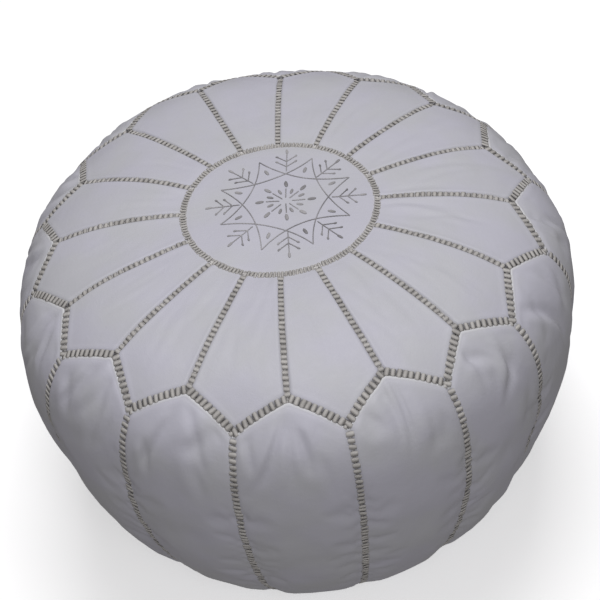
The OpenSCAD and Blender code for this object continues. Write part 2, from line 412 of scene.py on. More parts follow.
def circle_section(radius: float, sides: int) -> np.ndarray:
    """Points of a small round section."""
    a = np.linspace(0, 2 * math.pi, sides, endpoint=False)
    return radius * np.stack([np.cos(a), np.sin(a)], -1)


def unit(vectors: np.ndarray) -> np.ndarray:
    """Scale vectors to a length of 1."""
    return vectors / np.maximum(np.linalg.norm(vectors, axis=-1, keepdims=True), 1e-12)


def along_line(values: np.ndarray, length: np.ndarray, where: np.ndarray | float) -> np.ndarray:
    """Read off a quantity part of the way along a line.

    Args:
        values: N x D values at the line's points.
        length: N distances along the line.
        where: The distances to read off.

    Returns:
        One row of D values for each distance.
    """
    return np.stack([np.interp(where, length, values[:, c]) for c in range(values.shape[1])], -1)


def smooth_noise(points: np.ndarray, wavelength: float, seed: int, waves: int = 24) -> np.ndarray:
    """Give a smooth random height at each point, as a sum of plane waves.

    Args:
        points: N x 3 places.
        wavelength: Typical distance between two crests.
        seed: Seed of the pattern.
        waves: How many waves are added.

    Returns:
        N heights with a spread of about 1.
    """
    rng = np.random.default_rng(seed)
    k = unit(rng.normal(size=(waves, 3))) * (2 * math.pi / wavelength) * rng.uniform(0.6, 1.5, (waves, 1))
    phase = rng.uniform(0, 2 * math.pi, waves)
    return np.sin(points @ k.T + phase).sum(axis=1) * math.sqrt(2 / waves)


def smooth_step(x: np.ndarray | float) -> np.ndarray | float:
    """Go smoothly from 0 to 1 as x does."""
    x = np.clip(x, 0, 1)
    return x * x * (3 - 2 * x)


def spline_matrix(count: int, places: np.ndarray) -> np.ndarray:
    """Weights of a Catmull-Rom curve through count points.

    Args:
        count: Number of points.
        places: Where to sample, from 0 to count - 1.

    Returns:
        One row of weights per place.
    """
    out = np.zeros((len(places), count + 2))
    for row, t in enumerate(places):
        i = min(int(t), count - 2)
        f = t - i
        out[row, i : i + 4] = (
            -0.5 * f + f**2 - 0.5 * f**3,
            1 - 2.5 * f**2 + 1.5 * f**3,
            0.5 * f + 2 * f**2 - 1.5 * f**3,
            -0.5 * f**2 + 0.5 * f**3,
        )
    inner = out[:, 1:-1].copy()
    # The two end points that don't exist carry the curve straight on.
    inner[:, 0] += 2 * out[:, 0]
    inner[:, 1] -= out[:, 0]
    inner[:, -1] += 2 * out[:, -1]
    inner[:, -2] -= out[:, -1]
    return inner


def grid_normals(points: np.ndarray, closed: bool = False) -> np.ndarray:
    """Outward unit normals of a grid that runs down its rows and anticlockwise along them.

    Args:
        points: Rows x columns x 3 points.
        closed: Whether the last column meets the first.

    Returns:
        Unit normals, one for each point.
    """
    down = np.gradient(points, axis=0)
    if closed:
        across = np.roll(points, -1, axis=1) - np.roll(points, 1, axis=1)
    else:
        across = np.gradient(points, axis=1)
    return unit(np.cross(down, across))


def select_only(*objects: bpy.types.Object) -> None:
    """Select these objects and no others, and make the first one active.

    Args:
        objects: The objects to select, the active one first.
    """
    bpy.ops.object.select_all(action="DESELECT")
    for obj in objects:
        obj.select_set(True)
    bpy.context.view_layer.objects.active = objects[0]


def outward_faces(obj: bpy.types.Object) -> None:
    """Turn every closed shell of a mesh to face outwards.

    Args:
        obj: The mesh, of one or more closed shells.
    """
    select_only(obj)
    bpy.ops.object.mode_set(mode="EDIT")
    bpy.ops.mesh.select_all(action="SELECT")
    bpy.ops.mesh.normals_make_consistent(inside=False)
    bpy.ops.object.mode_set(mode="OBJECT")


def apply_modifier(obj: bpy.types.Object, kind: str, **settings) -> None:
    """Give an object one modifier and apply it.

    Args:
        obj: The object.
        kind: The modifier's type.
        **settings: Its settings.
    """
    modifier = obj.modifiers.new(kind.lower(), kind)
    for name, value in settings.items():
        setattr(modifier, name, value)
    select_only(obj)
    bpy.ops.object.modifier_apply(modifier=modifier.name)


def fit_out(obj: bpy.types.Object, material: bpy.types.Material, body: str, slot: str, *nodes: str) -> None:
    """Dress a piece and say where it belongs.

    Args:
        obj: The piece.
        material: Its finish.
        body: The body that it rides on.
        slot: The record's slot that it would take its finish from; not used.
        *nodes: CAD nodes that it stands for.
    """
    obj.data.materials.clear()
    obj.data.materials.append(material)
    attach(obj, body)
    if nodes:
        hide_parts(*nodes)
    LOG.info("%s: %d faces", obj.name, len(obj.data.polygons))


# ---------------------------------------------------------------- the cover's shape


@dataclass(frozen=True)
class Stray:
    """How one kind of hand-cut corner strays from the even ring: in slow waves round the pouf.

    The most it strays is in degrees for a turn and in millimetres for a way out; the start is in degrees.
    """

    most: float
    waves: int
    start: float

    def at(self, k: int, count: int) -> float:
        """Straying of corner k out of count."""
        return self.most * math.sin(math.radians(self.start + self.waves * 360 / count * k))


@dataclass(frozen=True)
class Pattern:
    """Sizes of the filled cover and of its cut panels, in metres and degrees."""

    petals: int = 16
    belly_r: float = 0.275
    belly_z: float = 0.216
    crown_z: float = 0.348
    rest_r: float = 0.180
    shoulder_x: float = 4.3
    shoulder_z: float = 3.4
    flank: float = 1.6
    medallion_r: float = 0.091
    medallion_at: tuple[float, float] = (-0.001, 0.003)
    medallion_oval: float = 0.02
    inner_r: float = 0.221
    tip_r: float = 0.249
    base_seam_r: float = 0.188
    medallion_turn: Stray = Stray(1.2, 3, 200)
    inner_turn: Stray = Stray(0.6, 5, 30)
    inner_out: Stray = Stray(2, 5, 120)
    tip_turn: Stray = Stray(0.6, 3, 80)
    tip_out: Stray = Stray(1.5, 7, 10)

    def outline(self, steps: int = 400) -> tuple[np.ndarray, np.ndarray, np.ndarray]:
        """Work out the side view from the crown's centre down to the flat base.

        Args:
            steps: Points on each of the two stretches.

        Returns:
            Arc length, radius and height of each point.
        """
        a = np.linspace(0, math.pi / 2, steps)
        r = self.belly_r * np.sin(a)
        z = self.belly_z + (self.crown_z - self.belly_z) * (
            np.maximum(0, 1 - (r / self.belly_r) ** self.shoulder_x)) ** (1 / self.shoulder_z)
        u = np.sin(a[1:])
        flare = np.maximum(0, 1 - u**self.flank) ** (1 / self.flank)
        r = np.concatenate([r, self.rest_r + (self.belly_r - self.rest_r) * flare])
        z = np.concatenate([z, self.belly_z * (1 - u)])
        s = np.concatenate([[0], np.cumsum(np.hypot(np.diff(r), np.diff(z)))])
        return s, r, z

    def seam_a(self, k: float) -> float:
        """Angle of petal seam k, in radians."""
        return math.radians(-90 + 360 / self.petals * k)

    def ring_a(self, k: int) -> float:
        """Angle at which petal seam k leaves the medallion."""
        return self.seam_a(k) + math.radians(self.medallion_turn.at(k, self.petals))

    def ring_point(self, angle: float) -> tuple[float, float]:
        """Plan position of the medallion's seam in one direction."""
        r = self.medallion_r * (1 + self.medallion_oval * math.cos(2 * angle))
        return self.medallion_at[0] + r * math.cos(angle), self.medallion_at[1] + r * math.sin(angle)

    def inner_corner(self, k: int) -> tuple[float, float]:
        """Plan position of the zigzag's inner corner on petal seam k.

        Args:
            k: Number of the petal seam.

        Returns:
            The corner's x and y.
        """
        r = self.inner_r + self.inner_out.at(k, self.petals) * MM
        a = self.seam_a(k) + math.radians(self.inner_turn.at(k, self.petals))
        return r * math.cos(a), r * math.sin(a)

    def tip_a(self, k: int) -> float:
        """Angle of petal tip k, which lies between seams k and k + 1."""
        return self.seam_a(k + 0.5) + math.radians(self.tip_turn.at(k, self.petals))

    def tip(self, k: int) -> tuple[float, float]:
        """Plan position of petal tip k."""
        r = self.tip_r + self.tip_out.at(k, self.petals) * MM
        return r * math.cos(self.tip_a(k)), r * math.sin(self.tip_a(k))


# Distance of a slump's middle from the body's axis.
SLUMP_R = 0.262


@dataclass(frozen=True)
class Slump:
    """A broad bulge or hollow of the loose filling.

    The direction is in degrees; the height above the floor, the width and the push are in millimetres.
    """

    direction: float
    height: float
    width: float
    push: float

    def lift(self, points: np.ndarray) -> np.ndarray:
        """How far the skin is pushed out at each point, in metres.

        Args:
            points: Points on the skin.

        Returns:
            One push for each point.
        """
        a = math.radians(self.direction)
        centre = np.array([SLUMP_R * math.cos(a), SLUMP_R * math.sin(a), self.height * MM])
        away = np.linalg.norm(points - centre, axis=-1) / MM
        return self.push * MM * np.exp(-((away / self.width) ** 2))


SLUMPS = (
    Slump(182, 250, 95, -8),
    Slump(205, 120, 90, -5),
    Slump(150, 300, 60, -4),
    Slump(118, 325, 70, 5),
    Slump(-25, 120, 90, -4),
    Slump(20, 290, 60, -4),
    Slump(-70, 290, 80, 2),
)


@dataclass
class Cover:
    """The leather skin as one sheet on a polar grid, swollen by the filling behind it."""

    pattern: Pattern
    half: int = 10
    medallion_rows: int = 14
    petal_rows: int = 24
    side_rows: int = 54
    seam_pull: float = 3.2 * MM
    side_growth: float = 0.014
    most_move: float = 14 * MM
    points: np.ndarray = field(init=False)

    def __post_init__(self) -> None:
        """Lay the sheet out on the plain body shape, with its slumps."""
        self.points = self.lay_out()
        push = sum(slump.lift(self.points) for slump in SLUMPS)
        calm = smooth_step(np.arange(self.points.shape[0])[::-1] / 12)
        self.points = self.points + self.normals() * (push * calm[:, None])[..., None]

    @property
    def columns(self) -> int:
        """Number of columns round the body."""
        return self.pattern.petals * 2 * self.half

    @property
    def ring_row(self) -> int:
        """Row of the seam round the medallion."""
        return self.medallion_rows

    @property
    def zigzag_row(self) -> int:
        """Row of the zigzag seam."""
        return self.medallion_rows + self.petal_rows

    @property
    def base_row(self) -> int:
        """Row of the seam round the base."""
        return self.zigzag_row + self.side_rows

    def seam_places(self) -> tuple[np.ndarray, np.ndarray, np.ndarray]:
        """Find where each column crosses the medallion's seam, the zigzag and the base seam.

        Returns:
            Plan positions on the two upper seams, and angles on the base seam.
        """
        pattern = self.pattern
        ring, zigzag, base = [], [], []
        for j in range(self.columns):
            k, part = divmod(j, 2 * self.half)
            f = part / (2 * self.half)
            ring.append(pattern.ring_point((1 - f) * pattern.ring_a(k) + f * pattern.ring_a(k + 1)))
            outward = f < 0.5
            near = pattern.inner_corner(k if outward else k + 1)
            far = pattern.tip(k)
            g = 2 * f if outward else 2 * (1 - f)
            zigzag.append(((1 - g) * near[0] + g * far[0], (1 - g) * near[1] + g * far[1]))
            before, after = (pattern.tip_a(k - 1), pattern.tip_a(k)) if outward else (
                pattern.tip_a(k), pattern.tip_a(k + 1))
            base.append(before + (after - before) * (f + 0.5 if outward else f - 0.5))
        return np.array(ring), np.array(zigzag), np.array(base)

    def lay_out(self) -> np.ndarray:
        """Place every grid point on the body.

        Returns:
            Rows x columns x 3 points.
        """
        s, r, z = self.pattern.outline()
        crown = r.argmax()
        ring, zigzag, base_a = self.seam_places()
        ring_a, zig_a = (base_a + (np.arctan2(*xy.T[::-1]) - base_a + math.pi) % (2 * math.pi) - math.pi
                         for xy in (ring, zigzag))
        ring_s, zig_s = (np.interp(np.hypot(*xy.T), r[: crown + 1], s[: crown + 1]) for xy in (ring, zigzag))
        base_s = float(np.interp(-self.pattern.base_seam_r, -r[crown:], s[crown:]))
        rows = []
        for i in range(self.medallion_rows + 1):
            v = (i + 0.6) / (self.medallion_rows + 0.6)
            rows.append((ring_s * v, ring_a))
        for i in range(1, self.petal_rows + 1):
            v = i / self.petal_rows
            rows.append((ring_s + (zig_s - ring_s) * v, ring_a + (zig_a - ring_a) * v))
        for i in range(1, self.side_rows + 1):
            v = i / self.side_rows
            rows.append((zig_s + (base_s - zig_s) * v, zig_a + (base_a - zig_a) * smooth_step(v * 2.5)))
        out = []
        for length, angle in rows:
            radius, height = np.interp(length, s, r), np.interp(length, s, z)
            out.append(np.stack([radius * np.cos(angle), radius * np.sin(angle), height], -1))
        return np.array(out)

    def normals(self) -> np.ndarray:
        """Outward normals of the grid points."""
        return grid_normals(self.points, closed=True)

    def seam_weights(self) -> np.ndarray:
        """Give 1 to each grid point on a seam and 0 to the rest.

        Returns:
            Rows x columns weights.
        """
        w = np.zeros(self.points.shape[:2])
        w[self.ring_row, :] = 1
        w[self.ring_row : self.zigzag_row + 1, :: 2 * self.half] = 1
        w[self.zigzag_row, :] = 1
        w[self.zigzag_row :, self.half :: 2 * self.half] = 1
        w[self.base_row, :] = 1
        return w

    def swell(self) -> None:
        """Let the filling press the leather out between its seams by cloth simulation."""
        seams = self.seam_weights()
        rest = self.points.copy()
        normals = self.normals()
        rows, cols = seams.shape
        pull = np.where(seams > 0, self.seam_pull, 0.0)
        pull[: self.zigzag_row] *= 0.55
        pull[self.ring_row] = 1.0 * MM
        pull[self.base_row] = 0.4 * MM
        start = rest - normals * pull[..., None]
        wander = 0.6 * MM * smooth_noise(rest.reshape(-1, 3), 0.14, 11).reshape(rows, cols, 1)
        start[: self.base_row] += (normals * wander)[: self.base_row]
        # Only the side panels are cut with leather to spare.
        tight = np.ones((rows, cols))
        tight[self.zigzag_row + 1 : self.base_row] = 0
        obj = mesh_object("cover_sheet", start.reshape(-1, 3), grid_faces(rows, cols, closed=True))
        pins = np.maximum(seams, np.arange(rows)[:, None] < self.ring_row)
        for name, weights in (("pins", pins), ("tight", tight)):
            group = obj.vertex_groups.new(name=name)
            for index, weight in enumerate(weights.ravel()):
                group.add([index], float(weight), "REPLACE")
        cloth = obj.modifiers.new("press", "CLOTH")
        use = cloth.settings
        use.quality = 6
        use.mass = 0.4
        use.tension_stiffness = 40
        use.compression_stiffness = 40
        use.shear_stiffness = 20
        use.bending_stiffness = 3.0
        use.use_pressure = True
        use.uniform_pressure_force = 4.0
        use.vertex_group_mass = "pins"
        use.vertex_group_shrink = "tight"
        use.shrink_min = -self.side_growth
        use.shrink_max = 0.0
        use.effector_weights.gravity = 0
        cloth.point_cache.frame_start = 1
        cloth.point_cache.frame_end = 20
        for number in range(1, 21):
            bpy.context.scene.frame_set(number)
        shown = obj.evaluated_get(bpy.context.evaluated_depsgraph_get())
        moved = np.empty(rows * cols * 3)
        shown.data.vertices.foreach_get("co", moved)
        offset = moved.reshape(rows, cols, 3) - rest
        length = np.linalg.norm(offset, axis=-1, keepdims=True)
        offset *= np.minimum(1, self.most_move / np.maximum(length, 1e-9))
        self.points = rest + offset
        LOG.info("cover swelled by up to %.1f mm", float(length.max()) / MM)
        bpy.data.objects.remove(obj)
        bpy.context.scene.frame_set(1)

    def patch(self, top: int, bottom: int, left: int, right: int, step: float = 2 * MM) -> np.ndarray:
        """Sample one panel finely, without crossing its seams.

        Args:
            top: First row.
            bottom: Last row.
            left: First column, which may be negative.
            right: Last column, which may pass the last one.
            step: Distance between samples.

        Returns:
            Rows x columns x 3 points.
        """
        cols = np.arange(left, right + 1) % self.columns
        block = self.points[top : bottom + 1][:, cols]
        high = np.linalg.norm(np.diff(block, axis=0), axis=-1).sum(0).max()
        wide = np.linalg.norm(np.diff(block, axis=1), axis=-1).sum(1).max()
        down = spline_matrix(block.shape[0], np.linspace(0, block.shape[0] - 1, int(high / step) + 2))
        across = spline_matrix(block.shape[1], np.linspace(0, block.shape[1] - 1, int(wide / step) + 2))
        return np.einsum("ri,ijc,sj->rsc", down, block, across)


# ---------------------------------------------------------------- leather panels


@dataclass(frozen=True)
class EdgeShape:
    """How the leather runs along one seam: set back from the line, with a raised lip and a rolled edge."""

    setback: float = 1.3 * MM
    lip: float = 0.7 * MM
    lip_at: float = 3.2 * MM
    lip_width: float = 2.2 * MM
    roll: float = 1.1 * MM
    dip: float = 0.0
    dip_width: float = 4.5 * MM
    slant: float = 1.0
    # A folded edge gets a painted highlight along its ridge.
    folded: bool = False


class Edge(Enum):
    """The kinds of seam edge on a panel."""

    RING = EdgeShape(setback=0.7 * MM, lip=0.35 * MM, lip_at=2.6 * MM, lip_width=1.6 * MM, roll=0.7 * MM)
    PETAL = EdgeShape(setback=0.6 * MM, lip=0.3 * MM, lip_at=5.5 * MM, roll=0.5 * MM,
                      dip=0.8 * MM, dip_width=3.8 * MM)
    ZIGZAG_INNER = EdgeShape(setback=0.7 * MM, lip=0.4 * MM, lip_at=8.0 * MM, roll=0.5 * MM,
                             dip=1.3 * MM, dip_width=5.5 * MM, slant=0.85)
    ZIGZAG_OUTER = EdgeShape(setback=0.8 * MM, lip=2.0 * MM, lip_at=3.2 * MM, lip_width=1.3 * MM,
                             roll=0.8 * MM, slant=0.85, folded=True)
    SIDE = EdgeShape(setback=0.7 * MM, lip=0.6 * MM, roll=0.6 * MM)
    BASE = EdgeShape(setback=1.1 * MM, lip=0.3 * MM)

    def rise(self, away: np.ndarray) -> np.ndarray:
        """Height that the seam gives the leather at some distance from its line, in metres.

        Args:
            away: Distances from the seam's line, in metres.

        Returns:
            One height for each distance.
        """
        e = self.value
        return (e.lip * np.exp(-(((away - e.lip_at) / e.lip_width) ** 2))
                - e.dip * np.exp(-((away / e.dip_width) ** 4))
                - e.roll * np.exp(-np.maximum(0, away - e.setback) / (0.7 * MM)))

    def crest(self, away: np.ndarray) -> np.ndarray:
        """How much painted highlight a proud folded edge gets at some distance from the seam's line, from 0
        to 1.
        """
        e = self.value
        return np.exp(-(((away - e.lip_at) / e.lip_width) ** 2)) * float(e.folded)


@dataclass(frozen=True)
class Fold:
    """A soft crease in a panel: where it is, which way it runs and how deep it goes, in millimetres.

    across is measured from the panel's middle and down from its top edge. A turn of 0 runs across and
    90 runs down.
    """

    across: float
    down: float
    turn: float
    length: float
    width: float
    depth: float

    def height(self, across: np.ndarray, down: np.ndarray) -> np.ndarray:
        """Height that the fold adds.

        Args:
            across: Distance from the panel's middle, in metres.
            down: Distance from its top edge, in metres.

        Returns:
            Heights in metres.
        """
        c, s = math.cos(math.radians(self.turn)), math.sin(math.radians(self.turn))
        x, y = across / MM - self.across, down / MM - self.down
        along, beside = x * c + y * s, -x * s + y * c
        bow = beside - 0.004 * along**2
        fade = np.exp(-((along / (self.length / 2)) ** 4))
        valley = -np.exp(-((bow / self.width) ** 2))
        ridge = 0.6 * np.exp(-(((bow - 1.9 * self.width) / (1.4 * self.width)) ** 2))
        return MM * self.depth * fade * (valley + ridge)


def arc_lengths(points: np.ndarray, axis: int) -> np.ndarray:
    """Distance along a grid from its first row or column.

    Args:
        points: Rows x columns x 3 points.
        axis: 0 to go down the columns, 1 to go along the rows.

    Returns:
        Rows x columns distances.
    """
    step = np.linalg.norm(np.diff(points, axis=axis), axis=-1)
    pad = [(1, 0), (0, 0)] if axis == 0 else [(0, 0), (1, 0)]
    return np.cumsum(np.pad(step, pad), axis=axis)


# Distances beside a seam at which the leather's shape is sampled, in millimetres.
NEAR_SEAM = (0, 0.5, 1.1, 1.8, 2.6, 3.6, 4.9, 6.6, 8.8)


def graded(points: np.ndarray, axis: int, first: Edge | None, last: Edge,
           spacing: float) -> tuple[np.ndarray, np.ndarray, np.ndarray]:
    """Resample a fine grid along one axis, closely beside the seams and evenly between them.

    Args:
        points: Rows x columns x 3 points.
        axis: The axis to resample.
        first: Edge at the start, or None where the grid has no seam.
        last: Edge at the end.
        spacing: Distance between samples away from the seams.

    Returns:
        The new grid, and each sample's distance from the first and from the last seam.
    """
    lines = np.moveaxis(points, axis, 0)
    length = np.moveaxis(arc_lengths(points, axis), axis, 0)
    near = np.array(NEAR_SEAM) * MM
    slant_a, slant_b = (edge.value.slant if edge else 1.0 for edge in (first, last))
    start = near + (first.value.setback / slant_a if first else 0)
    end = near + last.value.setback / slant_b
    whole = float(np.median(length[-1]))
    inner = max(4, int((whole - start[-1] - end[-1]) / spacing))
    part = np.linspace(0, 1, inner + 2)[1:-1]
    out, from_first, from_last = [], [], []
    for i in range(lines.shape[1]):
        full = length[-1, i]
        squeeze = min(1.0, 0.45 * full / max(start[-1], end[-1]))
        a, b = start * squeeze, full - end[::-1] * squeeze
        marks = np.concatenate([a, a[-1] + (b[0] - a[-1]) * part, b])
        out.append(np.stack([np.interp(marks, length[:, i], lines[:, i, c]) for c in range(3)], -1))
        from_first.append(marks * slant_a)
        from_last.append((full - marks) * slant_b)
    return tuple(np.moveaxis(np.array(rows).swapaxes(0, 1), 0, axis) for rows in (out, from_first, from_last))


def mark_edges(obj: bpy.types.Object, distances: np.ndarray, crest: np.ndarray | None = None) -> None:
    """Store what the leather's finish has to know about the seams.

    Args:
        obj: The panel.
        distances: Each point's distance from the nearest seam, in metres.
        crest: How much painted highlight each point gets along a folded edge's ridge, from 0 to 1.
    """
    values = {"seam_distance": distances, "painted_fold_highlight": np.zeros(len(distances)) if crest is None else crest}
    for name, numbers in values.items():
        layer = obj.data.attributes.new(name, "FLOAT", "POINT")
        layer.data.foreach_set("value", np.asarray(numbers, dtype=np.float32))


@dataclass
class Panel:
    """One cut piece of leather, from the cover's grid to a finished shell."""

    name: str
    node: str
    rows: tuple[int, int]
    cols: tuple[int, int]
    top: Edge
    bottom: Edge
    sides: Edge
    folds: tuple[Fold, ...] = ()
    seed: int = 0
    spacing: float = 3.0 * MM
    thickness: float = 1.3 * MM
    turned_in: float = 3.2 * MM
    slack: float = 1.0
    skin: np.ndarray = field(init=False)
    seam_distance: np.ndarray = field(init=False)
    crest: np.ndarray = field(init=False)

    def shape(self, cover: Cover) -> None:
        """Work out the outer surface of the panel.

        Args:
            cover: The swollen cover.
        """
        fine = cover.patch(self.rows[0], self.rows[1], self.cols[0], self.cols[1])
        wide, left, right = graded(fine, 1, self.sides, self.sides, self.spacing)
        points, top, bottom = graded(wide, 0, self.top, self.bottom, self.spacing)
        rows = np.linspace(0, left.shape[0] - 1, points.shape[0])
        low = np.minimum(rows.astype(int), left.shape[0] - 2)
        mix = (rows - low)[:, None]
        left = left[low] * (1 - mix) + left[low + 1] * mix
        right = right[low] * (1 - mix) + right[low + 1] * mix
        rise = self.top.rise(top) + self.bottom.rise(bottom) + self.sides.rise(left) + self.sides.rise(right)
        nearest = np.minimum(np.minimum(left, right), np.minimum(top, bottom))
        calm = np.clip(nearest / (10 * MM), 0, 1)
        for fold in self.folds:
            rise += self.slack * fold.height((left - right) / 2, top) * (0.35 + 0.65 * calm)
        flat = points.reshape(-1, 3)
        waves = 0.25 * smooth_noise(flat, 0.075, 100 + self.seed)
        waves += 0.10 * smooth_noise(flat, 0.03, 200 + self.seed)
        rise += calm * waves.reshape(calm.shape) * MM
        self.skin = points + grid_normals(points) * rise[..., None]
        self.seam_distance = nearest
        # The folded top edge gets a painted highlight along its ridge.
        self.crest = self.top.crest(top)

    def build(self) -> bpy.types.Object:
        """Make the panel's mesh, with its edges turned in.

        Returns:
            The panel.
        """
        rows, cols = self.skin.shape[:2]
        index = np.arange(rows * cols).reshape(rows, cols)
        loop = np.concatenate([index[:-1, 0], index[-1, :-1], index[:0:-1, -1], index[0, :0:-1]])
        flat, normals = self.skin.reshape(-1, 3), grid_normals(self.skin).reshape(-1, 3)
        skirt = flat[loop] - normals[loop] * self.turned_in
        count = rows * cols
        faces = grid_faces(rows, cols)
        faces += [(int(loop[i]), count + i, count + (i + 1) % len(loop), int(loop[(i + 1) % len(loop)]))
                  for i in range(len(loop))]
        obj = mesh_object(self.name, np.concatenate([flat, skirt]), faces)
        edge = np.zeros(len(loop))
        mark_edges(obj, *(np.concatenate([part.ravel(), edge]) for part in (self.seam_distance, self.crest)))
        apply_modifier(obj, "SOLIDIFY", thickness=self.thickness, offset=-1)
        return obj


# ---------------------------------------------------------------- stitching


@dataclass(frozen=True)
class StitchKind:
    """Size of one kind of whip stitch, in metres."""

    pitch: float
    width: float
    shift: float = 0.0
    strand: float = 2.35 * MM
    thick: float = 0.42 * MM
    slant: float = 0.4 * MM
    core: float = 1.6 * MM
    core_depth: float = 0.9 * MM


class Stitch(Enum):
    """The stitches that the pouf is sewn with."""

    RING = StitchKind(pitch=3.5 * MM, width=7.0 * MM, strand=1.35 * MM, thick=0.36 * MM, slant=0.3 * MM,
                      core=1.2 * MM, core_depth=0.8 * MM)
    PETAL = StitchKind(pitch=5.4 * MM, width=5.6 * MM)
    ZIGZAG = StitchKind(pitch=5.4 * MM, width=8.0 * MM, shift=1.9 * MM)
    SIDE = StitchKind(pitch=5.6 * MM, width=7.2 * MM)
    BASE = StitchKind(pitch=6.0 * MM, width=6.0 * MM, thick=0.45 * MM)


# Three strands lying side by side: their outline across and up, as parts of the stitch's size.
STRANDS = np.array([
    (-1, 0), (-0.72, 0.85), (-0.36, 0.5), (0, 1), (0.36, 0.5), (0.72, 0.85), (1, 0), (0, -0.9)])


@dataclass
class SeamLine:
    """A line of stitches over the groove between two panels."""

    path: np.ndarray
    normals: np.ndarray
    kind: Stitch
    inset: float = 0.0

    def places(self, pitch: float) -> tuple[np.ndarray, np.ndarray, np.ndarray]:
        """Places of the stitches.

        Args:
            pitch: Wanted distance between two stitches.

        Returns:
            Centres, normals and directions along the seam.
        """
        length = np.concatenate([[0], np.cumsum(np.linalg.norm(np.diff(self.path, axis=0), axis=1))])
        sewn = length[-1] - 2 * self.inset
        count = max(1, int(round(sewn / pitch)))
        marks = self.inset + (np.arange(count) + 0.5) * sewn / count
        ahead, behind = (along_line(self.path, length, marks + near) for near in (0.5 * MM, -0.5 * MM))
        along = unit(ahead - behind)
        normal = along_line(self.normals, length, marks)
        normal = unit(normal - along * (normal * along).sum(1, keepdims=True))
        return along_line(self.path, length, marks), normal, along

    def stitches(self, leather: BVHTree, rng: np.random.Generator) -> tuple[np.ndarray, list]:
        """Make every stitch of the seam, lying on the leather.

        Args:
            leather: The surface that the stitches lie on.
            rng: Source of the small differences between stitches.

        Returns:
            Points and faces.
        """
        size = self.kind.value
        parts = np.array([-1.0, -0.86, -0.5, 0.0, 0.5, 0.86, 1.0])
        taper = np.array([0.6, 0.9, 1.0, 1.0, 1.0, 0.9, 0.6])
        made = []
        for centre, normal, along in zip(*self.places(size.pitch)):
            beside = np.cross(normal, along)
            width = size.width * rng.uniform(0.9, 1.08) / 2
            lean = size.slant + rng.normal(0, 0.2 * MM)
            stray = rng.normal(0, 0.15 * MM, 2)
            middle = centre + beside * (size.shift + stray[0]) + along * stray[1]
            line = middle + parts[:, None] * (beside * width + along * lean)
            ground = []
            for point in line:
                hit = leather.ray_cast(Vector(point + normal * 12 * MM), Vector(-normal), 20 * MM)[0]
                ground.append(np.dot(np.array(hit) - point, normal) if hit is not None else -4 * MM)
            ground = np.array(ground)
            # The thread bridges the groove, rests on what stands higher and dives in at both ends.
            chord = ground[0] + (ground[-1] - ground[0]) * (parts + 1) / 2
            over = np.maximum(chord, ground) + size.thick * 0.7
            over[1:-1] = np.maximum(over[1:-1], (over[:-2] + over[2:]) / 2)
            over[0], over[-1] = ground[0] - size.thick, ground[-1] - size.thick
            line = line + normal * over[:, None]
            run = unit(np.gradient(line, axis=0))
            wide = unit(along - run * (run @ along)[:, None])
            section = STRANDS * (size.strand * rng.uniform(0.9, 1.08), size.thick)
            made.append(tube(line, wide, np.cross(run, wide), section, taper))
        return join_parts(made)

    def groove_thread(self) -> tuple[np.ndarray, list]:
        """Make the run of thread that shows deep in the groove.

        Returns:
            Points and faces.
        """
        size = self.kind.value
        length = np.linalg.norm(np.diff(self.path, axis=0), axis=1).sum()
        pick = np.linspace(0, len(self.path) - 1, max(4, int(length / (6 * MM)))).astype(int)
        path, normal = self.path[pick], self.normals[pick]
        beside = unit(np.cross(normal, np.gradient(path, axis=0)))
        return tube(path - normal * size.core_depth, beside, normal, circle_section(size.core, 6))


# ---------------------------------------------------------------- the leather cover


def side_folds(k: int) -> tuple[Fold, ...]:
    """Creases of side panel k: some listed one by one where the leather gathers, the rest from a seeded draw.

    Args:
        k: Number of the panel, from 0 at the front.

    Returns:
        The folds.
    """
    by_hand = {
        0: (Fold(-20, 36, 125, 50, 4.5, 1.6), Fold(16, 24, 80, 26, 7, -1.0), Fold(-42, 26, 80, 28, 3.5, 1.4)),
        1: (Fold(3, 32, 92, 54, 2.6, 2.0), Fold(26, 44, 100, 40, 5, 1.3), Fold(-36, 22, 60, 24, 4, 1.1)),
        2: (Fold(-8, 22, 40, 34, 4, 1.7), Fold(22, 40, 70, 40, 6, 1.1), Fold(30, 80, 110, 50, 7, 1.0)),
        3: (Fold(-12, 44, 62, 80, 4, 2.2), Fold(24, 34, 80, 44, 6, 1.3)),
        13: (Fold(0, 30, 95, 40, 5, 1.8), Fold(24, 30, 70, 30, 4, 1.5)),
        14: (Fold(10, 30, 110, 44, 5, 1.7), Fold(-28, 36, 70, 40, 5, 1.5)),
        15: (Fold(-20, 34, 130, 46, 5, 1.7), Fold(22, 30, 60, 42, 5, 1.3)),
    }
    rng = np.random.default_rng(300 + k)
    drawn = [Fold(rng.uniform(-38, 38), rng.uniform(16, 56), rng.uniform(50, 130), rng.uniform(24, 56),
                  rng.uniform(3.0, 6.5), rng.uniform(0.7, 1.7)) for _ in range(3 if k in by_hand else 6)]
    low = [Fold(rng.uniform(-30, 30), rng.uniform(110, 290), rng.uniform(-25, 25), rng.uniform(50, 90),
                rng.uniform(10, 18), rng.uniform(0.3, 0.7)) for _ in range(4)]
    return by_hand.get(k, ()) + tuple(drawn) + tuple(low)


def petal_folds(k: int) -> tuple[Fold, ...]:
    """Shallow creases of petal k, which run out from the medallion where the skin is slack.

    Args:
        k: Number of the petal, from 0 just right of the front.

    Returns:
        The folds.
    """
    rng = np.random.default_rng(500 + k)
    slack = 1.0 if k in (2, 3, 4) else 0.55
    return tuple(
        Fold(rng.uniform(-18, 18), rng.uniform(30, 110), rng.uniform(76, 104), rng.uniform(40, 80),
             rng.uniform(2.5, 5.0), slack * rng.uniform(0.25, 0.6)) for _ in range(4))


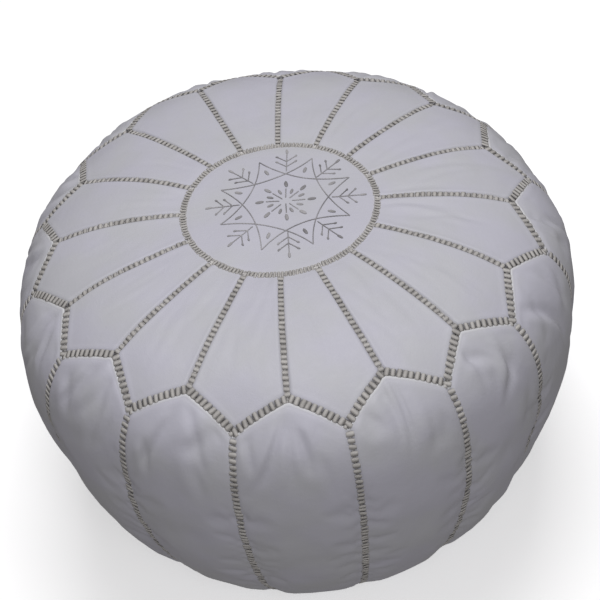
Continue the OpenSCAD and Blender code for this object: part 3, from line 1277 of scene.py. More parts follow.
@dataclass
class Leatherwork:
    """The cover above the base: medallion, petals and side panels, and the seams between them."""

    cover: Cover
    body: str = "pouf_body"
    crown: float = 2.0 * MM
    panels: list[Panel] = field(default_factory=list)
    medallion_skin: np.ndarray = field(init=False)

    def cut(self) -> None:
        """Cut and shape the petals, side panels and medallion."""
        cover, half = self.cover, self.cover.half
        for k in range(cover.pattern.petals):
            self.panels.append(Panel(
                f"petal_{k + 1:02d}_leather", f"petal_{k + 1:02d}",
                (cover.ring_row, cover.zigzag_row), (2 * half * k, 2 * half * (k + 1)),
                Edge.RING, Edge.ZIGZAG_INNER, Edge.PETAL, folds=petal_folds(k), seed=k))
            self.panels.append(Panel(
                f"side_panel_{k + 1:02d}_leather", f"side_panel_{k + 1:02d}",
                (cover.zigzag_row, cover.base_row), (2 * half * k - half, 2 * half * k + half),
                Edge.ZIGZAG_OUTER, Edge.BASE, Edge.SIDE, folds=side_folds(k), slack=1.4, seed=40 + k))
        for panel in self.panels:
            panel.shape(cover)
        self.medallion_skin = self.shape_medallion()

    def ground(self, base: list[tuple[np.ndarray, list]]) -> BVHTree:
        """Gather the outer surfaces that stitches lie on.

        Args:
            base: Those of the base.

        Returns:
            A tree to cast rays at.
        """
        parts = [(p.skin.reshape(-1, 3), grid_faces(*p.skin.shape[:2])) for p in self.panels]
        rings, cols = self.medallion_skin.shape[:2]
        middle = self.medallion_skin[0].mean(0)
        points = np.concatenate([self.medallion_skin.reshape(-1, 3), [middle]])
        fan = [(rings * cols, j, (j + 1) % cols) for j in range(cols)]
        parts.append((points, fan + grid_faces(rings, cols, closed=True)))
        verts, faces = join_parts(parts + base)
        return BVHTree.FromPolygons(verts.tolist(), faces)

    def shape_medallion(self, columns: int = 160) -> np.ndarray:
        """Work out the medallion's outer surface.

        Args:
            columns: Points round each ring.

        Returns:
            Rings x columns x 3 points, from the middle outwards.
        """
        cover = self.cover
        block = cover.points[: cover.ring_row + 1, :: cover.columns // columns]
        weights = spline_matrix(block.shape[0], np.linspace(0, block.shape[0] - 1, 120))
        fine = np.einsum("ri,ijc->rjc", weights, block)
        points, middle, away = graded(fine, 0, None, Edge.RING, 5 * MM)
        dome = self.crown * (1 - (middle / (middle + away)) ** 2)
        rise = Edge.RING.rise(away) + dome
        rise += 0.25 * MM * smooth_noise(points.reshape(-1, 3), 0.06, 77).reshape(rise.shape)
        return points + grid_normals(points, closed=True) * rise[..., None]

    def dress_panels(self, material: bpy.types.Material) -> None:
        """Make every panel's mesh and dress it.

        Args:
            material: The leather.
        """
        for panel in self.panels:
            obj = panel.build()
            fit_out(obj, material, self.body, "leather", panel.node)
        medallion = self.build_medallion()
        fit_out(medallion, material, self.body, "leather", "medallion")

    def build_medallion(self, turned_in: float = 3.2 * MM) -> bpy.types.Object:
        """Make the medallion's mesh: rings of quads closed by a fan in the middle.

        Args:
            turned_in: Depth of its turned-in edge.

        Returns:
            The medallion.
        """
        skin = self.medallion_skin
        rings, cols = skin.shape[:2]
        skirt = skin[-1] - grid_normals(skin, closed=True)[-1] * turned_in
        verts = np.concatenate([[skin[0].mean(0)], skin.reshape(-1, 3), skirt])
        faces = [(0, 1 + j, 1 + (j + 1) % cols) for j in range(cols)]
        faces += grid_faces(rings + 1, cols, closed=True, start=1)
        obj = mesh_object("medallion_leather", verts, faces)
        away = np.linalg.norm(skin[-1] - skin, axis=-1)
        mark_edges(obj, np.concatenate([[self.cover.pattern.medallion_r], away.ravel(), np.zeros(cols)]))
        apply_modifier(obj, "SOLIDIFY", thickness=1.3 * MM, offset=-1)
        return obj

    def seam_line(self, rows: np.ndarray, cols: np.ndarray, kind: Stitch, inset: float = 0.0) -> SeamLine:
        """Run a seam along the cover's grid.

        Args:
            rows: Grid row of each point.
            cols: Grid column of each point.
            kind: Its stitch.
            inset: Stretch left free at both ends.

        Returns:
            The seam's line.
        """
        cols = cols % self.cover.columns
        weights = spline_matrix(len(rows), np.linspace(0, len(rows) - 1, 6 * len(rows)))
        normals = self.cover.normals()[rows, cols]
        return SeamLine(weights @ self.cover.points[rows, cols], unit(weights @ normals), kind, inset)

    def seam_lines(self) -> dict[str, list[SeamLine]]:
        """Find every seam's line on the cover.

        Returns:
            Lines by the name of the CAD node that they stand for.
        """
        cover, half = self.cover, self.cover.half
        ring = np.arange(cover.columns + 1)
        petal_rows = np.arange(cover.ring_row, cover.zigzag_row + 1)
        side_rows = np.arange(cover.zigzag_row, cover.base_row + 1)
        lines: dict[str, list[SeamLine]] = {
            "medallion_seam": [self.seam_line(np.full(ring.size, cover.ring_row), ring, Stitch.RING)],
            "petal_seams": [],
            "zigzag_seam": [],
            "side_seams": [],
            "base_seam": [self.seam_line(np.full(ring.size, cover.base_row), ring, Stitch.BASE)],
        }
        for k in range(cover.pattern.petals):
            at = 2 * half * k
            lines["petal_seams"].append(
                self.seam_line(petal_rows, np.full(petal_rows.size, at), Stitch.PETAL, inset=3 * MM))
            lines["side_seams"].append(
                self.seam_line(side_rows, np.full(side_rows.size, at + half), Stitch.SIDE, inset=2 * MM))
            for start in (at, at + half):
                cols = np.arange(start, start + half + 1)
                lines["zigzag_seam"].append(
                    self.seam_line(np.full(cols.size, cover.zigzag_row), cols, Stitch.ZIGZAG))
        return lines

    def sew(self, thread: bpy.types.Material, shade: bpy.types.Material, ground: BVHTree) -> None:
        """Sew all the seams.

        Args:
            thread: The thread's finish.
            shade: The finish of the thread deep in the groove: a copy painted lighter than the rungs, to
                offset the groove's shade.
            ground: The leather that the stitches lie on.
        """
        rng = np.random.default_rng(5)
        for node, lines in self.seam_lines().items():
            stem = node.removesuffix("_seams").removesuffix("_seam")
            made = [line.stitches(ground, rng) for line in lines]
            stitches = mesh_object(f"{stem}_stitches", *join_parts(made))
            outward_faces(stitches)
            fit_out(stitches, thread, self.body, "seam_thread", node)
            core = mesh_object(f"{stem}_groove_thread", *join_parts([line.groove_thread() for line in lines]))
            outward_faces(core)
            fit_out(core, shade, self.body, "seam_thread", node)


# ---------------------------------------------------------------- embroidery


@dataclass
class Embroidery:
    """An eight-pointed star with bowed sides, sprigs beyond its notches and a rosette, in stem stitch."""

    at: tuple[float, float] = (5 * MM, 8 * MM)
    points: int = 8
    star_r: float = 66 * MM
    notch_r: float = 36 * MM
    sprig: tuple[float, float] = (43 * MM, 70 * MM)
    branch_at: tuple[float, ...] = (50 * MM, 58 * MM)
    branch_l: float = 12 * MM
    branch_turn: float = math.radians(50)
    stitch: float = 2.9 * MM
    strand: float = 0.5 * MM
    made: list[tuple[np.ndarray, list]] = field(default_factory=list)

    def lie(self, plan: np.ndarray, leather: BVHTree, raised: float) -> np.ndarray:
        """Lay points given in plan on the leather.

        Args:
            plan: N x 2 points round the embroidery's own middle.
            leather: The surface.
            raised: Height above it.

        Returns:
            N x 3 points.
        """
        out = []
        for x, y in plan + np.array(self.at):
            hit = leather.ray_cast(Vector((x, y, 1.0)), Vector((0, 0, -1)), 2.0)[0]
            out.append((x, y, hit.z + raised))
        return np.array(out)

    def strand_at(self, start: np.ndarray, end: np.ndarray, leather: BVHTree, rise: float = 0.0) -> None:
        """Lay one strand that comes up at start and goes down at end.

        Args:
            start: Plan position.
            end: Plan position.
            leather: The surface.
            rise: Extra height of its middle.
        """
        plan = start + np.array([0, 0.15, 0.5, 0.85, 1])[:, None] * (end - start)
        path = self.lie(plan, leather, 0.15 * MM)
        path[:, 2] += np.array([-0.5, 0.1, 0.25, 0.1, -0.5]) * MM + rise * np.array([0, 0.7, 1, 0.7, 0])
        run = unit(np.gradient(path, axis=0))
        side = unit(np.cross(np.array([0.0, 0.0, 1.0]), run))
        self.made.append(tube(path, side, np.cross(run, side), circle_section(self.strand, 6),
                              np.array([0.6, 1, 1, 1, 0.6])))

    def stem_stitch(self, plan: np.ndarray, leather: BVHTree) -> None:
        """Cover a line with short strands, each laid a little beside the last.

        Args:
            plan: N x 2 points of the line.
            leather: The surface.
        """
        length = np.concatenate([[0], np.cumsum(np.linalg.norm(np.diff(plan, axis=0), axis=1))])
        count = max(1, int(round(length[-1] / self.stitch)))
        for i in range(count):
            a = along_line(plan, length, i * length[-1] / count)
            b = along_line(plan, length, min(length[-1], (i + 1.25) * length[-1] / count))
            aside = unit(np.array([a[1] - b[1], b[0] - a[0]])) * 0.16 * MM
            self.strand_at(a + aside, b - aside, leather)

    def satin_leaf(self, middle: np.ndarray, turn: float, long: float, wide: float, leather: BVHTree) -> None:
        """Fill a small leaf with strands laid side by side.

        Args:
            middle: Its plan position.
            turn: Direction that it points in.
            long: Its length.
            wide: Its width.
            leather: The surface.
        """
        along = np.array([math.cos(turn), math.sin(turn)])
        beside = np.array([-along[1], along[0]])
        lean = 0.5 * along + 0.87 * beside
        count = max(3, int(long / (1.5 * self.strand)))
        for place in (np.arange(count) + 0.5) / count * 2 - 1:
            reach = wide / 2 * math.sqrt(max(0.15, 1 - place * place))
            spot = middle + along * place * long / 2
            self.strand_at(spot - lean * reach, spot + lean * reach, leather, rise=0.15 * MM)

    def polar(self, r: float, a: float) -> np.ndarray:
        """Plan position at radius r and angle a, as unevenly as it was drawn by hand.

        Args:
            r: Distance from the middle, in metres.
            a: Angle, in radians.

        Returns:
            The place's x and y.
        """
        r += (1.1 * math.sin(2 * a + 1) + 0.6 * math.sin(5 * a)) * MM
        a += 0.035 * math.sin(3 * a + 0.5)
        return np.array([r * math.cos(a), r * math.sin(a)])

    def bowed(self, a: np.ndarray, middle: np.ndarray, b: np.ndarray) -> np.ndarray:
        """Points of a smooth line from a to b that passes middle."""
        t = np.linspace(0, 1, 25)[:, None]
        return (1 - t) ** 2 * a + 2 * t * (1 - t) * (2 * middle - (a + b) / 2) + t**2 * b

    def build(self, leather: BVHTree, thread: bpy.types.Material, body: str) -> None:
        """Embroider the medallion.

        Args:
            leather: The surface.
            thread: The thread's finish.
            body: The body that it rides on.
        """
        step = 2 * math.pi / self.points
        for i in range(self.points):
            point, notch = step * (i + 0.5), step * i
            here, after = self.polar(self.star_r, point), self.polar(self.star_r, point + 2 * step)
            self.stem_stitch(self.bowed(here, self.polar(self.notch_r, point + step), after), leather)
            self.satin_leaf(self.polar(0.72 * self.star_r, point), point, 7 * MM, 3.8 * MM, leather)
            self.sprig_at(notch, leather)
            self.satin_leaf(self.polar(24 * MM, notch), notch, 7.5 * MM, 4.2 * MM, leather)
            self.satin_leaf(self.polar(15 * MM, point), point, 6 * MM, 3.2 * MM, leather)
            self.stem_stitch(np.array([self.polar(5 * MM, notch), self.polar(18 * MM, notch)]), leather)
        obj = mesh_object("medallion_embroidery_thread", *join_parts(self.made))
        outward_faces(obj)
        fit_out(obj, thread, body, "embroidery_thread", "medallion_embroidery")

    def sprig_at(self, a: float, leather: BVHTree) -> None:
        """Lay one sprig: a stem, paired branches with knots at their ends and a leaf at the tip.

        Args:
            a: Its direction.
            leather: The surface.
        """
        foot, top = self.polar(self.sprig[0], a), self.polar(self.sprig[1], a)
        self.stem_stitch(np.array([foot, top]), leather)
        self.satin_leaf(self.polar(self.sprig[1] + 3 * MM, a), a, 6 * MM, 2.8 * MM, leather)
        for r in self.branch_at:
            for side in (-1, 1):
                turn = a + side * self.branch_turn
                end = self.polar(r, a) + self.branch_l * np.array([math.cos(turn), math.sin(turn)])
                self.stem_stitch(np.array([self.polar(r, a), end]), leather)
                self.satin_leaf(end, turn, 2.6 * MM, 2.2 * MM, leather)


# ---------------------------------------------------------------- base, filling


@dataclass
class Base:
    """The two halves of the round base, hemmed along the zip, with their stitching."""

    pattern: Pattern
    body: str = "pouf_body"
    setback: float = 1.3 * MM
    opening: tuple[float, float] = (154 * MM, 9 * MM)
    hem_rise: float = 6.2 * MM
    join_rise: float = 3.4 * MM
    lip_width: float = 1.8 * MM
    hem_lift: float = 1.3 * MM
    columns: int = 150
    skins: dict[int, np.ndarray] = field(default_factory=dict)

    def edge_y(self, x: np.ndarray) -> np.ndarray:
        """Distance from the middle line at which the leather is turned up, along x."""
        open_part = 1 - smooth_step((np.abs(x) - (self.opening[0] - 5 * MM)) / (6 * MM))
        return self.setback + (self.opening[1] - self.setback) * open_part

    def height(self, x: np.ndarray, y: np.ndarray) -> np.ndarray:
        """Height of the leather above the floor.

        Args:
            x: Places along the zip.
            y: Distances from the middle line.

        Returns:
            Heights in metres.
        """
        _, r, z = self.pattern.outline()
        low = slice(r.argmax(), None)
        edge = self.edge_y(x)
        beside = np.maximum(0, y - edge)
        open_part = (edge - self.setback) / (self.opening[1] - self.setback)
        rise = self.join_rise + (self.hem_rise - self.join_rise) * open_part
        turn = 1 - np.sqrt(1 - np.clip(1 - beside / self.lip_width, 0, 1) ** 2)
        lift = self.hem_lift * np.exp(-((beside / (8 * MM)) ** 2))
        body = np.interp(-np.hypot(x, y), -r[low], z[low])
        flat = np.stack([x, y, 0 * x], -1).reshape(-1, 3)
        waves = 0.7 * MM * np.maximum(0, smooth_noise(flat, 0.09, 61)).reshape(x.shape)
        return body + np.maximum(lift, waves) * (1 - turn) + rise * turn

    def shape(self) -> None:
        """Work out the outer surface of both halves."""
        radius = self.pattern.base_seam_r - self.setback
        start = math.asin(self.setback / radius)
        phi = np.linspace(start, math.pi - start, self.columns)
        arc = np.stack([radius * np.cos(phi), radius * np.sin(phi)], -1)
        chord = arc * (0.985, 0)
        chord[:, 1] = self.edge_y(chord[:, 0])
        length = np.linalg.norm(arc - chord, axis=-1)
        near = np.array([0, 0.1, 0.25, 0.5, 0.8, 1.2, 1.8, 2.6, 4, 6, 9, 13]) * MM
        far = np.array([9, 6, 4, 2.4, 1.2, 0.4, 0]) * MM
        squeeze = np.minimum(1, 0.4 * length / near[-1])[:, None]
        inner = near * squeeze
        outer = length[:, None] - far * squeeze
        part = np.linspace(0, 1, 26)[None, 1:-1]
        marks = np.concatenate([inner, inner[:, -1:] + (outer[:, :1] - inner[:, -1:]) * part, outer], 1)
        plan = chord[None] + unit(arc - chord)[None] * marks.T[..., None]
        height = self.height(plan[..., 0], plan[..., 1])
        top = np.stack([plan[..., 0], plan[..., 1], height], -1)
        for side in (-1, 1):
            self.skins[side] = top * (-side, side, 1)

    def ground(self) -> list[tuple[np.ndarray, list]]:
        """Both outer surfaces, as points and faces."""
        return [(skin.reshape(-1, 3), grid_faces(*skin.shape[:2])) for skin in self.skins.values()]

    def build(self, leather: bpy.types.Material) -> None:
        """Make both halves.

        Args:
            leather: Their finish.
        """
        for side, label in ((-1, "front"), (1, "back")):
            skin = self.skins[side]
            tucked = skin[-1:] * (0.998, 0.998, 1) + np.array([0, 0, 3.0 * MM])
            whole = np.concatenate([skin, tucked])
            rows, cols = whole.shape[:2]
            obj = mesh_object(f"base_{label}_leather", whole.reshape(-1, 3), grid_faces(rows, cols))
            x, y = np.abs(whole[..., 0]), np.abs(whole[..., 1])
            radius = self.pattern.base_seam_r
            mark_edges(obj, np.minimum(radius - np.hypot(x, y), y - self.edge_y(x)).clip(0).ravel())
            apply_modifier(obj, "SOLIDIFY", thickness=1.3 * MM, offset=-1)
            fit_out(obj, leather, self.body, "leather", f"base_panel_{label}")

    def sew(self, thread: bpy.types.Material, ground: BVHTree) -> None:
        """Sew the two short seams beyond the zip and the topstitching beside it.

        Args:
            thread: The thread's finish.
            ground: The leather.
        """
        rng = np.random.default_rng(8)
        made = []
        for side in (-1, 1):
            x = np.linspace(self.opening[0] + 3 * MM, self.pattern.base_seam_r - 6 * MM, 20)
            path = np.stack([side * x, 0 * x, 0 * x + self.hem_lift], -1)
            made.append(SeamLine(path, np.tile((0.0, 0.0, -1.0), (20, 1)), Stitch.BASE).stitches(ground, rng))
        cross = mesh_object("base_cross_stitches", *join_parts(made))
        outward_faces(cross)
        fit_out(cross, thread, self.body, "seam_thread", "base_cross_seams")
        made = []
        for side in (-1, 1):
            for x in np.arange(-self.opening[0] + 6 * MM, self.opening[0] - 6 * MM, 5 * MM):
                along = x + np.array([-1.8, -1.4, 0, 1.4, 1.8]) * MM
                y = np.full(5, side * (self.opening[1] + 3.5 * MM))
                z = self.height(along, np.abs(y)) - np.array([-0.6, 0.1, 0.25, 0.1, -0.6]) * MM
                path = np.stack([along, y, z], -1)
                run = unit(np.gradient(path, axis=0))
                beside = np.tile((0.0, 1.0, 0.0), (5, 1))
                made.append(tube(path, beside, np.cross(run, beside), circle_section(0.42 * MM, 6)))
        hem = mesh_object("zip_hem_topstitching", *join_parts(made))
        outward_faces(hem)
        fit_out(hem, thread, self.body, "seam_thread")


@dataclass
class Filling:
    """Loose wadding packed inside the cover, with a channel left clear behind the zip."""

    cover: Cover
    body: str = "pouf_body"
    gap: float = 8.5 * MM
    floor: float = 3.4 * MM
    channel: tuple[float, float, float] = (162 * MM, 20 * MM, 13 * MM)

    def base_height(self, x: np.ndarray, y: np.ndarray) -> np.ndarray:
        """Height of the wadding's underside, which is raised over the zip."""
        beside = np.maximum(np.abs(x) - self.channel[0], np.abs(y) - self.channel[1])
        return self.channel[2] + (self.floor - self.channel[2]) * smooth_step(beside / (9 * MM))

    def build(self, wadding: bpy.types.Material) -> None:
        """Make the wadding.

        Args:
            wadding: Its finish.
        """
        cover = self.cover
        upper = (cover.points - cover.normals() * self.gap)[1:cover.base_row - 4:2, ::2]
        angle = np.arctan2(upper[-1, :, 1], upper[-1, :, 0])
        rings = []
        for radius in np.linspace(cover.pattern.base_seam_r - self.gap, 5 * MM, 30):
            x, y = radius * np.cos(angle), radius * np.sin(angle)
            rings.append(np.stack([x, y, self.base_height(x, y)], -1))
        grid = np.concatenate([upper, np.array(rings)])
        lumps = 1.6 * MM * np.abs(smooth_noise(grid.reshape(-1, 3), 0.045, 31)).reshape(grid.shape[:2])
        grid -= grid_normals(grid, closed=True) * lumps[..., None]
        count, cols = grid.shape[:2]
        verts = np.concatenate([grid.reshape(-1, 3), [grid[0].mean(0)], [grid[-1].mean(0)]])
        faces = grid_faces(count, cols, closed=True)
        faces += [(count * cols, j, (j + 1) % cols) for j in range(cols)]
        last = (count - 1) * cols
        faces += [(count * cols + 1, last + (j + 1) % cols, last + j) for j in range(cols)]
        obj = mesh_object("cotton_filling", verts, faces)
        outward_faces(obj)
        fit_out(obj, wadding, self.body, "filling", "filling")


# ---------------------------------------------------------------- zip


def in_edit_mode(obj: bpy.types.Object, keep: Callable[[Vector], bool], mode: str = "FACE") -> None:
    """Enter edit mode with only some faces, edges or points selected.

    Args:
        obj: The object to edit.
        keep: Says from a face's, edge's or point's middle whether it is selected.
        mode: FACE, EDGE or VERT.
    """
    select_only(obj)
    bpy.ops.object.mode_set(mode="EDIT")
    bpy.ops.mesh.select_all(action="DESELECT")
    bpy.ops.mesh.select_mode(type=mode)
    bpy.ops.object.mode_set(mode="OBJECT")
    mesh = obj.data
    if mode == "FACE":
        for face in mesh.polygons:
            face.select = keep(face.center)
    elif mode == "EDGE":
        for edge in mesh.edges:
            a, b = (mesh.vertices[i].co for i in edge.vertices)
            edge.select = keep((a + b) / 2)
    else:
        for point in mesh.vertices:
            point.select = keep(point.co)
    bpy.ops.object.mode_set(mode="EDIT")


def block(name: str, low: tuple[float, float, float], high: tuple[float, float, float],
          bevel: float = 0.0) -> bpy.types.Object:
    """Model a block from a cube, with its place in its mesh.

    Args:
        name: The block's name.
        low: Its lowest corner, in millimetres.
        high: Its highest corner, in millimetres.
        bevel: Width of its rounded edges, in millimetres.

    Returns:
        The block.
    """
    bpy.ops.object.select_all(action="DESELECT")
    bpy.ops.mesh.primitive_cube_add(size=1)
    obj = bpy.context.object
    obj.name = name
    low, high = Vector(low) * MM, Vector(high) * MM
    bpy.ops.object.mode_set(mode="EDIT")
    bpy.ops.mesh.select_all(action="SELECT")
    bpy.ops.transform.resize(value=tuple(high - low))
    bpy.ops.transform.translate(value=tuple((low + high) / 2))
    bpy.ops.object.mode_set(mode="OBJECT")
    if bevel:
        apply_modifier(obj, "BEVEL", width=bevel * MM, segments=2, limit_method="ANGLE")
    return obj


def merged(name: str, *pieces: bpy.types.Object) -> bpy.types.Object:
    """Join pieces into one object and shade it.

    Args:
        name: The new name.
        *pieces: The pieces.

    Returns:
        The joined object.
    """
    select_only(*pieces)
    if len(pieces) > 1:
        bpy.ops.object.join()
    obj = bpy.context.object
    obj.name = name
    bpy.ops.object.transform_apply(location=True, rotation=True, scale=True)
    bpy.ops.object.shade_smooth_by_angle(angle=math.radians(35))
    return obj


def copies(name: str, obj: bpy.types.Object, shifts: list[float], mirror: int) -> bpy.types.Object:
    """Make one mesh of many copies of a small shape, and drop the shape.

    Args:
        name: The new name.
        obj: The shape.
        shifts: How far along X each copy goes, in metres.
        mirror: -1 to mirror the copies across Y, or 1.

    Returns:
        The copies.
    """
    verts = np.array([v.co for v in obj.data.vertices]) * (1, mirror, 1)
    faces = [tuple(p.vertices)[::mirror] for p in obj.data.polygons]
    made = mesh_object(name, *join_parts([(verts + (x, 0, 0), faces) for x in shifts]))
    bpy.data.objects.remove(obj)
    select_only(made)
    bpy.ops.object.shade_smooth_by_angle(angle=math.radians(35))
    return made


@dataclass
class Zip:
    """The zip in the base: two tapes, two rows of teeth, stops, slider and pull. Sizes in millimetres."""

    body: str = "pouf_body"
    tape_z: tuple[float, float] = (6.4, 7.1)
    tape_y: tuple[float, float] = (2.2, 17.0)
    tape_l: float = 316.0
    tooth_z: tuple[float, float] = (5.5, 8.0)
    tooth_y: tuple[float, float] = (0.8, 3.2)
    tooth_w: float = 1.5
    pitch: float = 3.0
    chain_l: float = 288.0
    stop_x: float = 148.0
    slider_x: float = 138.0
    plates: tuple[float, float] = (4.2, 8.2)
    plate_t: float = 1.1
    pivot_z: float = 3.2
    pull_l: float = 26.0
    droop: float = 5.0

    def build_tapes(self, tape: bpy.types.Material) -> None:
        """Make the tapes, each with a corded inner edge that carries the teeth.

        Args:
            tape: Their finish.
        """
        for side, label in ((-1, "front"), (1, "back")):
            half = self.tape_l / 2
            y = sorted((side * self.tape_y[0], side * self.tape_y[1]))
            strip = block("strip", (-half, y[0], self.tape_z[0]), (half, y[1], self.tape_z[1]))
            in_edit_mode(strip, lambda p: abs(p.x) < half * MM * 0.99, "EDGE")
            bpy.ops.mesh.subdivide(number_cuts=63)
            bpy.ops.object.mode_set(mode="OBJECT")
            bpy.ops.object.select_all(action="DESELECT")
            middle = (self.tape_z[0] + self.tape_z[1]) / 2
            bpy.ops.mesh.primitive_cylinder_add(vertices=10, radius=0.65 * MM, depth=self.tape_l * MM)
            cord = bpy.context.object
            bpy.ops.object.mode_set(mode="EDIT")
            bpy.ops.mesh.select_all(action="SELECT")
            bpy.ops.transform.rotate(value=math.pi / 2, orient_axis="Y", center_override=(0, 0, 0))
            bpy.ops.transform.translate(value=(0, side * (self.tape_y[0] + 0.4) * MM, middle * MM))
            bpy.ops.object.mode_set(mode="OBJECT")
            obj = merged(f"zip_{label}_tape_cloth", strip, cord)
            fit_out(obj, tape, self.body, "zip_tape", f"zip_tape_{label}")

    def build_teeth(self, metal: bpy.types.Material) -> None:
        """Make both rows of teeth, each tooth with a bump and a waist.

        Args:
            metal: Their finish.
        """
        count = int(self.chain_l / self.pitch)
        for side, label, lead in ((-1, "front", 0.75), (1, "back", 0.25)):
            tooth = block("tooth", (-self.tooth_w / 2, self.tooth_y[0], self.tooth_z[0]),
                          (self.tooth_w / 2, self.tooth_y[1], self.tooth_z[1]))
            in_edit_mode(tooth, lambda p: p.y < (self.tooth_y[0] + 0.01) * MM)
            bpy.ops.mesh.inset(thickness=0.35 * MM)
            bpy.ops.transform.translate(value=(0, -0.45 * MM, 0))
            bpy.ops.object.mode_set(mode="OBJECT")
            apply_modifier(tooth, "BEVEL", width=0.2 * MM, segments=1, limit_method="ANGLE")
            shifts = [(-self.chain_l / 2 + self.pitch * (i + lead)) * MM for i in range(count)]
            obj = copies(f"zip_{label}_row_of_teeth", tooth, shifts, side)
            fit_out(obj, metal, self.body, "zip_teeth", f"zip_teeth_{label}")
        out = self.tooth_y[1] + 0.6
        low, high = self.tooth_z
        tops = [block("stop", (self.stop_x - 1.5, min(side * 0.8, side * out), low),
                      (self.stop_x + 1.5, max(side * 0.8, side * out), high), bevel=0.4) for side in (-1, 1)]
        fit_out(merged("zip_pair_of_top_stops", *tops), metal, self.body, "zip_teeth", "zip_top_stops")
        box = block("box", (-self.stop_x - 1.5, -out, low), (-self.stop_x + 1.5, out, high), bevel=0.4)
        fit_out(merged("zip_end_stop", box), metal, self.body, "zip_teeth", "zip_bottom_stop")

    def plate(self, z: float) -> bpy.types.Object:
        """Model one plate of the slider, wider at the mouth.

        Args:
            z: Height of its underside.

        Returns:
            The plate.
        """
        obj = block("plate", (-6, -4.2, z), (7, 4.2, z + self.plate_t))
        for x in (0.0, 3.0):
            in_edit_mode(obj, lambda p: True)
            bpy.ops.mesh.bisect(plane_co=(x * MM, 0, 0), plane_no=(1, 0, 0))
            bpy.ops.object.mode_set(mode="OBJECT")
        in_edit_mode(obj, lambda p: p.x > 2.5 * MM, "VERT")
        bpy.ops.transform.resize(value=(1, 5.2 / 4.2, 1), center_override=(0, 0, 0))
        bpy.ops.object.mode_set(mode="OBJECT")
        in_edit_mode(obj, lambda p: abs(p.z - (z + self.plate_t / 2) * MM) < 0.01 * MM and
                     (p.x < -5.9 * MM or p.x > 6.9 * MM) and abs(p.y) > 3 * MM, "EDGE")
        bpy.ops.mesh.bevel(offset=1.6 * MM, segments=4)
        bpy.ops.object.mode_set(mode="OBJECT")
        return obj

    def build_slider(self, metal: bpy.types.Material) -> None:
        """Make the slider: two plates, the post between them, side walls and the bail.

        Args:
            metal: Its finish.
        """
        low, high = self.plates
        parts = [self.plate(low), self.plate(high)]
        parts.append(block("post", (5.4, -0.28, low), (6.8, 0.28, high + self.plate_t)))
        for side in (-1, 1):
            y = sorted((side * 3.5, side * 4.2))
            for z in ((low + self.plate_t - 0.1, self.tape_z[0] - 0.3), (self.tape_z[1] + 0.3, high + 0.1)):
                parts.append(block("wall", (-4, y[0], z[0]), (3, y[1], z[1])))
        for part in parts:
            apply_modifier(part, "BEVEL", width=0.12 * MM, segments=2, limit_method="ANGLE")
        bpy.ops.object.select_all(action="DESELECT")
        bpy.ops.mesh.primitive_torus_add(major_radius=3.4 * MM, minor_radius=0.55 * MM, major_segments=40,
                                         minor_segments=12)
        bail = bpy.context.object
        bpy.ops.object.mode_set(mode="EDIT")
        bpy.ops.mesh.select_all(action="SELECT")
        bpy.ops.transform.rotate(value=math.pi / 2, orient_axis="X", center_override=(0, 0, 0))
        bpy.ops.mesh.bisect(plane_co=(0, 0, 0), plane_no=(0, 0, 1), clear_outer=True, use_fill=True)
        bpy.ops.mesh.select_all(action="SELECT")
        bpy.ops.transform.resize(value=(1, 1.4, 0.72), center_override=(0, 0, 0))
        bpy.ops.transform.translate(value=(0, 0, (low + 0.3) * MM))
        bpy.ops.object.mode_set(mode="OBJECT")
        obj = merged("zip_slider_casting", *parts, bail)
        self.move(obj, (self.slider_x, 0, 0))
        fit_out(obj, metal, "zip_slider", "zip_metal", "zip_slider")

    def move(self, obj: bpy.types.Object, shift: tuple[float, float, float], turn: float = 0.0) -> None:
        """Turn a mesh about Y through its origin, and then shift it.

        Args:
            obj: The object.
            shift: Distance in millimetres.
            turn: Angle in degrees, by the right-hand rule.
        """
        matrix = Matrix.Translation(Vector(shift) * MM) @ Matrix.Rotation(math.radians(turn), 4, "Y")
        obj.data.transform(matrix)

    def build_pull(self, metal: bpy.types.Material) -> None:
        """Make the pull: a tab with a window over its crossbar, a rounded end and a hole.

        Args:
            metal: Its finish.
        """
        tab = block("tab", (-self.pull_l, -3.5, -0.6), (0, 3.5, 0.6))
        in_edit_mode(tab, lambda p: abs(p.z) < 0.01 * MM and abs(p.y) > 3 * MM and p.x < -20 * MM, "EDGE")
        bpy.ops.mesh.bevel(offset=3.2 * MM, segments=8)
        bpy.ops.object.mode_set(mode="OBJECT")
        window = block("window", (-5.6, -1.4, -3), (1.4, 1.4, 3))
        bpy.ops.object.select_all(action="DESELECT")
        bpy.ops.mesh.primitive_cylinder_add(vertices=28, radius=1.6 * MM, depth=6 * MM,
                                            location=((-self.pull_l + 3.5) * MM, 0, 0))
        hole = bpy.context.object
        for cutter in (window, hole):
            apply_modifier(tab, "BOOLEAN", object=cutter, operation="DIFFERENCE", solver="EXACT")
            bpy.data.objects.remove(cutter)
        apply_modifier(tab, "BEVEL", width=0.22 * MM, segments=2, limit_method="ANGLE")
        bpy.ops.object.select_all(action="DESELECT")
        bpy.ops.mesh.primitive_cylinder_add(vertices=20, radius=0.6 * MM, depth=6 * MM)
        bar = bpy.context.object
        bpy.ops.object.mode_set(mode="EDIT")
        bpy.ops.mesh.select_all(action="SELECT")
        bpy.ops.transform.rotate(value=math.pi / 2, orient_axis="X", center_override=(0, 0, 0))
        bpy.ops.object.mode_set(mode="OBJECT")
        obj = merged("zip_pull_tab", tab, bar)
        self.move(obj, (self.slider_x, 0, self.pivot_z), -self.droop)
        fit_out(obj, metal, "zip_pull", "zip_metal", "zip_pull")


# ---------------------------------------------------------------- studio


